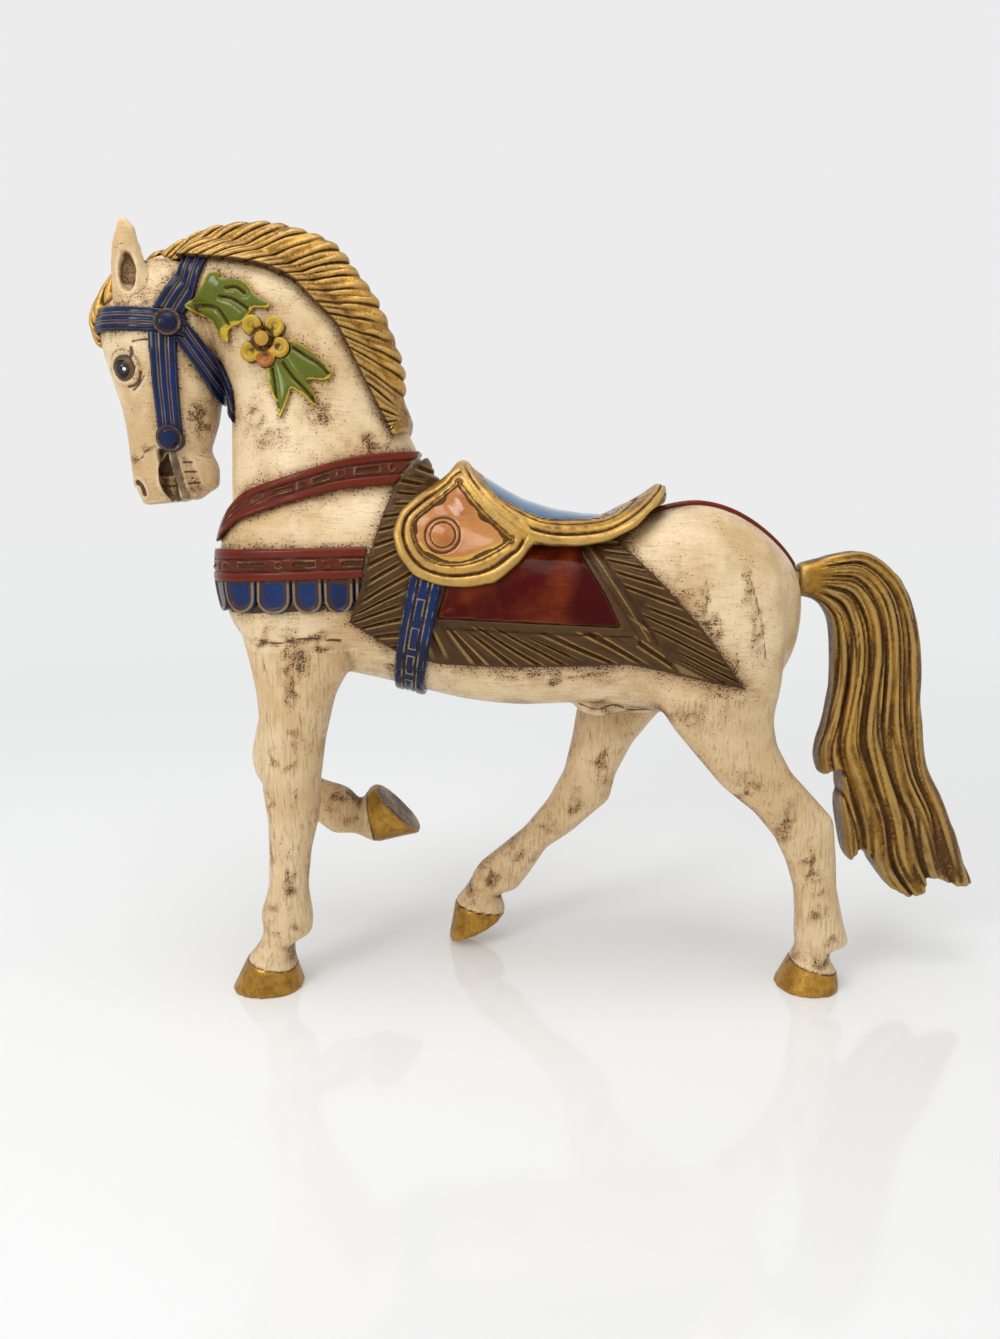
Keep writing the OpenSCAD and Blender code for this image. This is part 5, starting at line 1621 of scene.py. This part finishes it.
class HORSE_OT_breast_straps(bpy.types.Operator):
    """Model the two breast straps with their links, and the scallops below"""
    bl_idname = "horse.breast_straps"
    bl_label = "Breast straps"

    def execute(self, context):
        grid = context.scene.horse_carving.trim_grid
        skin = body_skin()
        for name, line, stations, blocked, shift in (
                ("upper_breast_strap", UPPER_BREAST_LINE, UPPER_BREAST_STATIONS, [], 4.0),
                ("lower_breast_strap", LOWER_BREAST_LINE, LOWER_BREAST_STATIONS,
                 [BLANKET_LINE], 9.0)):
            extra = [(prism(other), "DIFFERENCE") for other in blocked]
            strap = shell(name + "_carved", skin, line, 2.4, grid, extra)
            work = Carving(strap)
            share = lattice(stations, work.flat)[1]
            away = np.abs(breast_run(work))
            middle = np.abs(share - 0.5)
            work.height += 0.5 * ease(middle, 0.17, 0.28) - 0.5 * ease(middle, 0.42, 0.52)
            work.groove(middle - 0.2, 0.028, 0.55, 0.95)
            phase = (away + shift) / 21.0
            part = phase - np.floor(phase)
            ring = np.maximum(np.abs(part - 0.36) * 21 - 5.2, middle * 13 - 1.35)
            loop = ridge(ring, 0.42)
            work.height += 0.45 * loop - 0.55 * ease(-ring, 0.3, 0.8)
            broken = np.clip(0.55 + 0.75 * wave_noise(work.flat, 8, 7), 0, 1)
            work.tone = np.where(middle < 0.16, loop * broken, 0)
            work.darken(0.8 * ease(-ring, 0.4, 0.9))
            button = np.hypot((part - 0.84) * 21, (share - 0.5) * 13)
            work.height += 0.5 * ridge(button - 1.5, 0.4) - 0.5 * ridge(button, 0.7)
            work.tint(0.8 * broken * ridge(button - 1.5, 0.35))
            work.darken(0.8 * ridge(button, 0.7))
            work.stain_and_shade = 0.6 * ease(middle, 0.4, 0.52) + 0.7 * (1 - ease(middle, 0.17, 0.21))
            work.finish()
            place(strap, red_paint(), "red_paint", [name])
        fringe = shell("breast_scallops_carved", skin, SCALLOP_LINE, 2.4, grid,
                       [(prism(BLANKET_LINE), "DIFFERENCE")])
        work = Carving(fringe)
        x, y = work.places[:, 0] - BREAST_CENTRE, work.places[:, 1]
        phase = np.degrees(np.arctan2(y, -x)) / SCALLOP_ANGLE
        part = (phase - np.floor(phase) - 0.5) * 2
        radius = np.hypot(x, y)
        half = radius * math.radians(SCALLOP_ANGLE) / 2
        wide, drop_to = part * half, work.flat[:, 1] - SCALLOP_ROUND_FROM
        reach = half - 0.4
        low = np.hypot(wide / reach, np.minimum(drop_to, 0) / SCALLOP_DROP)
        edge = (1 - low) * np.minimum(reach, SCALLOP_DROP)
        work.height -= 3.2 * (1 - ease(edge, -0.5, 0.1))
        work.height += 0.5 * ridge(edge - 0.9, 0.7) - 0.5 * ease(edge, 1.6, 2.6)
        work.tone = ridge(edge - 0.8, 0.55)
        work.cut = np.maximum(0.9 * ridge(edge - 2.0, 0.45), 1 - ease(edge, -0.4, 0.2))
        work.darken(0.7 * ease(work.flat[:, 1], 186.5, 188.5))
        work.finish()
        scallop = paint("Scallop paint", (0.004, 0.015, 0.07), (0.008, 0.035, 0.14),
                        second=(0.26, 0.18, 0.05), flecks=0.6, streaks=0.5, rub=0.9,
                        shine=0.2, coat=0.5, spec=0.12)
        place(fringe, scallop, "blue_paint", ["breast_scallops"])
        return {"FINISHED"}


class HORSE_OT_blanket(bpy.types.Operator):
    """Cut the fringed blanket and its red panels"""
    bl_idname = "horse.blanket"
    bl_label = "Blanket"

    def execute(self, context):
        paints = context.scene.horse_paint
        grid = context.scene.horse_carving.saddle_grid
        skin = body_skin()
        cloth = shell("blanket_carved", skin, BLANKET_LINE, 3.0, grid * 1.15, [
            (prism(PANEL_LINE), "DIFFERENCE"), (prism(UPPER_BREAST_LINE), "DIFFERENCE")])
        work = Carving(cloth)
        flat = work.flat
        x, z = flat[:, 0], flat[:, 1]
        turned = (z - 202.5) * 26 + (x - 17.5) * 40
        trim = from_edge(BLANKET_LINE, flat)
        below_panel = off_line([(-50, 173), (28, 169), (33, 163)], flat)
        front = (x < -47) & ((z > 171.5) | (x < -60))
        rear = (turned > 0) & ~front
        low = ~front & ~rear
        for cuts, where, density, seed, border in (
                (FRONT_CUTS, front, 1.6, 17, np.ones(len(x))),
                (LOW_CUTS, low, 1.35, 23, ease(below_panel, 1.8, 3.4)),
                (REAR_CUTS, rear, 1.2, 31, ease(turned / 47.7, 0.6, 2.4))):
            share, row = lattice(cuts, flat, 3)[1:]
            reach = where * border * ease(trim, 0.3, 1.4)
            phase = row * density + 0.03 * wave_noise(flat, 22, seed)
            comb(work, phase, share, seed, 1.1, narrow=0.15, first=0.3, last=0.75,
                 hairs=1.6, reach=reach)
        for line in ([(12.5, 202.5), (36.5, 163.5)], [(17.5, 203.5), (43.5, 163)],
                     [(-46, 168.5), (33, 165)]):
            work.groove(off_line(line, flat), 0.5, 0.8, 0.95)
        work.tint(0.55 * ridge(off_line(
            [(14.5, 203.5), (40, 163.5)], flat), 0.9))
        work.darken(0.9 * (1 - ease(trim, 0.0, 0.9)))
        work.stain_and_shade = 0.5 * (1 - ease(trim, 0.5, 3.0))
        work.height -= 2.0 * ease(from_edge(FLAP_LINE, flat), 1.5, 4)
        work.finish()
        fringe = paint("Fringe paint", paints.brown, (0.11, 0.055, 0.018),
                       second=paints.rubbed, flecks=0.35, streaks=0.5, rub=0.6, dull=0.2,
                       shine=0.3, coat=0.2, spec=0.12, line=0.13, glow=0.6, glow_at=0.19,
                       glow_wide=0.085)
        place(cloth, fringe, "brown_paint", ["blanket"])
        panel = shell("blanket_panels_carved", skin, PANEL_LINE, 2.9, grid * 1.1)
        work = Carving(panel)
        edge = from_edge(PANEL_LINE, work.flat)
        work.height += 0.5 * ease(edge, 0.2, 5.0) - 0.35 + 0.12 * wave_noise(work.flat, 13, 2)
        low_edge = np.where(work.flat[:, 1] < 205, edge, CLEAR)
        work.cut = 0.85 * (1 - ease(low_edge, 0.2, 1.3))
        work.height -= 2.0 * ease(from_edge(FLAP_LINE, work.flat), 1.5, 4)
        work.tone = ease(work.flat[:, 0] + 6 * wave_noise(work.flat, 25, 4), -8, 24)
        work.finish()
        red = paint("Panel paint", paints.crimson, paints.ember, second=(0.055, 0.001, 0.001),
                    thin=(0.03, 0.003, 0.002), flecks=0.3, streaks=0.5, rub=0.9, dull=0.15,
                    shine=0.18, coat=0.25, spec=0.06)
        place(panel, red, "red_paint", ["blanket_panels"])
        return {"FINISHED"}


class HORSE_OT_girth(bpy.types.Operator):
    """Model the girth strap over the blanket's edge"""
    bl_idname = "horse.girth"
    bl_label = "Girth strap"

    def execute(self, context):
        grid = context.scene.horse_carving.trim_grid
        sink = context.scene.horse_carving.sink
        skin = body_skin()
        strap = grow(duplicate(skin, "girth_strap_carved"), 5.2)
        cut(strap, prism([(-90, 151), (-40, 150), (-40, 200), (-90, 200)]), "INTERSECT")
        cut(strap, grow(duplicate(skin, "thin"), 2.4), "UNION")
        cut(strap, prism(GIRTH_LINE), "INTERSECT")
        cut(strap, prism(FLAP_LINE), "DIFFERENCE")
        cut(strap, grow(duplicate(skin, "wood"), -sink / MM), "DIFFERENCE")
        sand(regrid(strap, grid), 4, 0.5)
        work = Carving(strap)
        run, share = lattice(GIRTH_STATIONS, work.flat)[:2]
        middle = np.abs(share - 0.5)
        work.height += 0.5 * ease(middle, 0.14, 0.26) - 0.6 * ease(middle, 0.42, 0.52)
        work.groove(middle - 0.18, 0.03, 0.55, 0.9)
        work.tone = 0.8 * ridge(middle - 0.245, 0.035) + 0.7 * ridge(middle - 0.43, 0.03)
        part = run / 12.5 - np.floor(run / 12.5)
        box = np.maximum(np.abs(part - 0.5) * 12.5 - 4.6, middle * 13 - 1.5)
        work.height += 0.35 * ridge(box, 0.4)
        work.tint(np.where(middle < 0.15, ridge(box, 0.4), 0))
        work.tone *= np.clip(0.75 + 0.35 * wave_noise(work.flat, 6, 7), 0, 1)
        work.finish()
        place(strap, blue_paint(), "blue_paint", ["girth_strap"])
        return {"FINISHED"}


def saddle_piece(skin, name, line, spacing, cutters=()):
    """What a side outline keeps of the saddle, less the cutters, as one even skin."""
    piece = duplicate(skin, name + "_carved")
    cut(piece, line, "INTERSECT")
    for cutter in cutters:
        cut(piece, cutter, "DIFFERENCE")
    return sand(regrid(piece, spacing), 2, 0.5)


class HORSE_OT_saddle(bpy.types.Operator):
    """Carve the saddle: flaps, panels, bosses, seat and its gilded rim"""
    bl_idname = "horse.saddle"
    bl_label = "Saddle"

    def execute(self, context):
        carving = context.scene.horse_carving
        paints = context.scene.horse_paint
        nodes = ["seat", "seat_rim", "saddle_flaps", "flap_panels", "flap_bosses"]
        skin = regrid(merged_copy(nodes, "saddle_skin"), carving.saddle_grid)
        sand(skin, 60, 0.8)
        gold = gilt("Saddle gold", age=0.75, grit=0.4, metal=0.5, bump=0.0003)

        rim = saddle_piece(skin, "seat_rim", prism(SEAT_CURVE), carving.saddle_grid * 0.9,
                           [prism(SEAT_TOP_CURVE)])
        work = Carving(rim)
        share = lattice(RIM_STATIONS, work.flat)[1]
        work.height += 0.7 * (rolls(share, 2) - 0.55)
        work.groove(share - 0.5, 0.06, 0.7, 1.0)
        work.groove(share - 0.86, 0.045, 0.35, 0.9)
        work.darken(0.6 * (1 - ease(share, 0.0, 0.08)))
        work.finish()
        place(rim, gold, "gold_paint", ["seat_rim"])

        seat = saddle_piece(skin, "seat", prism(SEAT_TOP_CURVE), carving.saddle_grid)
        work = Carving(seat)
        edge = np.abs(from_edge(SEAT_TOP_CURVE, work.flat))
        work.height -= 0.9 * (1 - ease(edge, 0.3, 1.6))
        work.cut = 0.8 * (1 - ease(edge, 0.3, 1.2))
        work.finish()
        top = paint("Seat paint", paints.seat, (0.1, 0.2, 0.34), flecks=0.15, streaks=0.5,
                    rub=0.8, grit=0.05, dull=0.1, shine=0.14, coat=0.8)
        place(seat, top, "seat_paint", ["seat"])

        flaps = saddle_piece(skin, "saddle_flaps", prism(FLAP_CURVE), carving.saddle_grid,
                             [prism(SEAT_CURVE), prism(FLAP_PANEL_CURVE)])
        work = Carving(flaps)
        outer = np.maximum(from_edge(FLAP_CURVE, work.flat), 0)
        inner = np.maximum(-from_edge(FLAP_PANEL_CURVE, work.flat), 0)
        share = outer / np.maximum(outer + inner, 0.1)
        work.height += 0.8 * (rolls(share, 2) - 0.6)
        work.groove(share - 0.5, 0.07, 0.7, 1.0)
        work.groove(share - 0.88, 0.045, 0.3, 0.9)
        work.darken(0.9 * ease(share, 0.92, 1.0))
        seam = off_line([(-36, 244), (-25, 226), (-12, 214), (-6, 206)], work.flat)
        work.groove(seam, 0.5, 0.5, 0.9)
        work.finish()
        place(flaps, gold, "gold_paint", ["saddle_flaps"])

        panel = saddle_piece(skin, "flap_panels", prism(FLAP_PANEL_CURVE),
                             carving.saddle_grid,
                             [prism(SEAT_CURVE), disc_cutter(*FLAP_BOSS, FLAP_BOSS_SIZE)])
        work = Carving(panel)
        edge = from_edge(FLAP_PANEL_CURVE, work.flat)
        gap = off_point(FLAP_BOSS, work.flat)
        work.height += 0.3 * ease(edge, 0.5, 4) - 0.5 + 0.15 * wave_noise(work.flat, 11, 6)
        work.groove(gap - 7.3, 0.45, 0.7, 1.0)
        work.darken(0.9 * (1 - ease(edge, 0.2, 1.0)))
        work.tone = 0.9 * (1 - ease(edge, 1.0, 4.0)) * ease(211 - work.flat[:, 1], 0, 10)
        work.plain = np.ones(len(edge))
        work.finish()
        tan = paint("Flap paint", paints.orange, (0.58, 0.25, 0.07), second=(0.6, 0.36, 0.05),
                    flecks=0.3, streaks=0.35, rub=0.9, dull=0.15, shine=0.15, coat=1.2)
        place(panel, tan, "orange_paint", ["flap_panels"])

        boss = saddle_piece(skin, "flap_bosses", disc_cutter(*FLAP_BOSS, FLAP_BOSS_SIZE),
                            carving.trim_grid)
        work = Carving(boss)
        gap = off_point(FLAP_BOSS, work.flat)
        work.height += 0.8 * ridge(gap, 4.0) - 0.5
        work.cut = ease(gap, 4.6, FLAP_BOSS_SIZE)
        work.finish()
        place(boss, tan, "orange_paint", ["flap_bosses"])
        drop(skin)
        return {"FINISHED"}


class HORSE_OT_crupper(bpy.types.Operator):
    """Model the thin crupper strap over the rump"""
    bl_idname = "horse.crupper"
    bl_label = "Crupper strap"

    def execute(self, context):
        grid = context.scene.horse_carving.trim_grid
        line = [(38, 189), (112.5, 189), (112.5, 245), (38, 245)]
        strap = shell("crupper_strap_carved", body_skin(), line, 2.2, grid, [
            (box_cutter(30, 125, -4, 4, 180, 250), "INTERSECT"),
            (prism(BLANKET_LINE), "DIFFERENCE"), (prism(SEAT_LINE), "DIFFERENCE")])
        work = Carving(strap)
        edge = 4 - np.abs(work.side)
        work.height -= 0.5 * (1 - ease(edge, 0, 1.4))
        work.groove(edge - 1.5, 0.4, 0.3, 0.8)
        work.finish()
        place(strap, red_paint(), "red_paint", ["crupper_strap"])
        return {"FINISHED"}


class HORSE_OT_dowels(bpy.types.Operator):
    """Give the dowels and the tail's peg their bare wood"""
    bl_idname = "horse.dowels"
    bl_label = "Dowels and peg"

    def execute(self, context):
        paints = context.scene.horse_paint
        wood = paint("Bare wood", paints.bare, (0.6, 0.42, 0.24), upright=0.0, flecks=0.1,
                     streaks=0.8, rub=0.5, dull=0.1, shine=0.55)
        for name in ("leg_dowels", "neck_dowels", "knee_dowel", "tail_peg"):
            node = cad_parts[name]
            node.data.materials.clear()
            node.data.materials.append(wood)
        return {"FINISHED"}


class HORSE_OT_stage(bpy.types.Operator):
    """Set the floor, the soft lights and the camera"""
    bl_idname = "horse.stage"
    bl_label = "Stage"

    def execute(self, context):
        scene = context.scene
        stage = scene.horse_stage
        bm = bmesh.new()
        bmesh.ops.create_circle(bm, cap_ends=True, segments=96, radius=6.0)
        floor = mesh_from(bm, "floor")
        material = bpy.data.materials.new("Floor")
        material.use_nodes = True
        board = Board(material.node_tree)
        shader = material.node_tree.nodes["Principled BSDF"]
        shader.inputs["Base Color"].default_value = (0.78, 0.79, 0.79, 1)
        shader.inputs["Roughness"].default_value = 0.09
        shader.inputs["Emission Color"].default_value = (1, 1, 1, 1)
        shader.inputs["Emission Strength"].default_value = 0.14
        position = board.add("ShaderNodeTexCoord").outputs["Object"]
        away = board.add("ShaderNodeVectorMath", operation="LENGTH")
        board.feed(away.inputs[0], position)
        glow = board.add("ShaderNodeEmission")
        glow.inputs["Color"].default_value = (0.83, 0.845, 0.84, 1)
        fade = board.add("ShaderNodeMixShader")
        board.feed(fade.inputs[0], board.step(away.outputs["Value"], 0.35, 1.6))
        board.feed(fade.inputs[1], shader.outputs[0])
        board.feed(fade.inputs[2], glow.outputs[0])
        board.feed(material.node_tree.nodes["Material Output"].inputs[0], fade.outputs[0])
        floor.data.materials.append(material)

        world = bpy.data.worlds.new("Room")
        scene.world = world
        world.use_nodes = True
        board = Board(world.node_tree)
        back = world.node_tree.nodes["Background"]
        back.inputs["Color"].default_value = (1, 1, 1, 1)
        rays = board.add("ShaderNodeLightPath")
        seen = board.math("MAXIMUM", rays.outputs["Is Camera Ray"], board.math(
            "MAXIMUM", rays.outputs["Is Glossy Ray"], rays.outputs["Is Transmission Ray"]))
        board.feed(back.inputs["Strength"], board.blend(seen, stage.sky, 0.84))

        for name, spot, aim, size, power in (
                ("top_light", (-0.1, -0.25, 1.25), (0, 0, 0.15), 0.8, stage.top),
                ("front_light", (-0.75, -0.95, 0.75), (0, 0, 0.16), 0.4, stage.key)):
            data = bpy.data.lights.new(name, "AREA")
            data.size = size
            data.energy = power
            lamp = bpy.data.objects.new(name, data)
            lamp.location = spot
            lamp.rotation_euler = (Vector(aim) - Vector(spot)).to_track_quat(
                "-Z", "Y").to_euler()
            scene.collection.objects.link(lamp)

        data = bpy.data.cameras.new("camera")
        data.lens = stage.lens
        data.sensor_width = 36
        data.sensor_fit = "AUTO"
        data.clip_start = 0.01
        camera = bpy.data.objects.new("camera", data)
        camera.location = (stage.camera_x, -stage.camera_back, stage.camera_height)
        camera.rotation_euler = (math.pi / 2 - stage.camera_pitch, 0, 0)
        scene.collection.objects.link(camera)
        scene.camera = camera
        scene.view_settings.view_transform = "Standard"
        return {"FINISHED"}


class HORSE_PT_panel(bpy.types.Panel):
    """Lists the steps that dress the horse"""
    bl_idname = "HORSE_PT_panel"
    bl_label = "Carved Horse"
    bl_space_type = "VIEW_3D"
    bl_region_type = "UI"
    bl_category = "Carved Horse"

    def draw(self, context):
        for group in ("horse_paint", "horse_carving", "horse_stage"):
            box = self.layout.box()
            owner = getattr(context.scene, group)
            for name in owner.bl_rna.properties.keys():
                if name not in ("rna_type", "name"):
                    box.prop(owner, name)
        for step in STEPS:
            self.layout.operator(step.bl_idname)


STEPS = (HORSE_OT_stage, HORSE_OT_blocks, HORSE_OT_head, HORSE_OT_ears, HORSE_OT_eyes,
         HORSE_OT_mane, HORSE_OT_tail, HORSE_OT_bridle, HORSE_OT_flower,
         HORSE_OT_breast_straps, HORSE_OT_blanket, HORSE_OT_girth, HORSE_OT_saddle,
         HORSE_OT_crupper, HORSE_OT_dowels)
GROUPS = (HORSE_PG_paint, HORSE_PG_carving, HORSE_PG_stage)


def register():
    for cls in GROUPS + STEPS + (HORSE_PT_panel,):
        bpy.utils.register_class(cls)
    bpy.types.Scene.horse_paint = bpy.props.PointerProperty(type=HORSE_PG_paint)
    bpy.types.Scene.horse_carving = bpy.props.PointerProperty(type=HORSE_PG_carving)
    bpy.types.Scene.horse_stage = bpy.props.PointerProperty(type=HORSE_PG_stage)


def unregister():
    del bpy.types.Scene.horse_stage
    del bpy.types.Scene.horse_carving
    del bpy.types.Scene.horse_paint
    for cls in reversed(GROUPS + STEPS + (HORSE_PT_panel,)):
        bpy.utils.unregister_class(cls)


def main():
    register()
    for step in STEPS:
        group, name = step.bl_idname.split(".")
        getattr(getattr(bpy.ops, group), name)()
    for helper in ("body_skin", "head_skin"):
        drop(bpy.data.objects[helper])


if __name__ == "__main__":
    main()
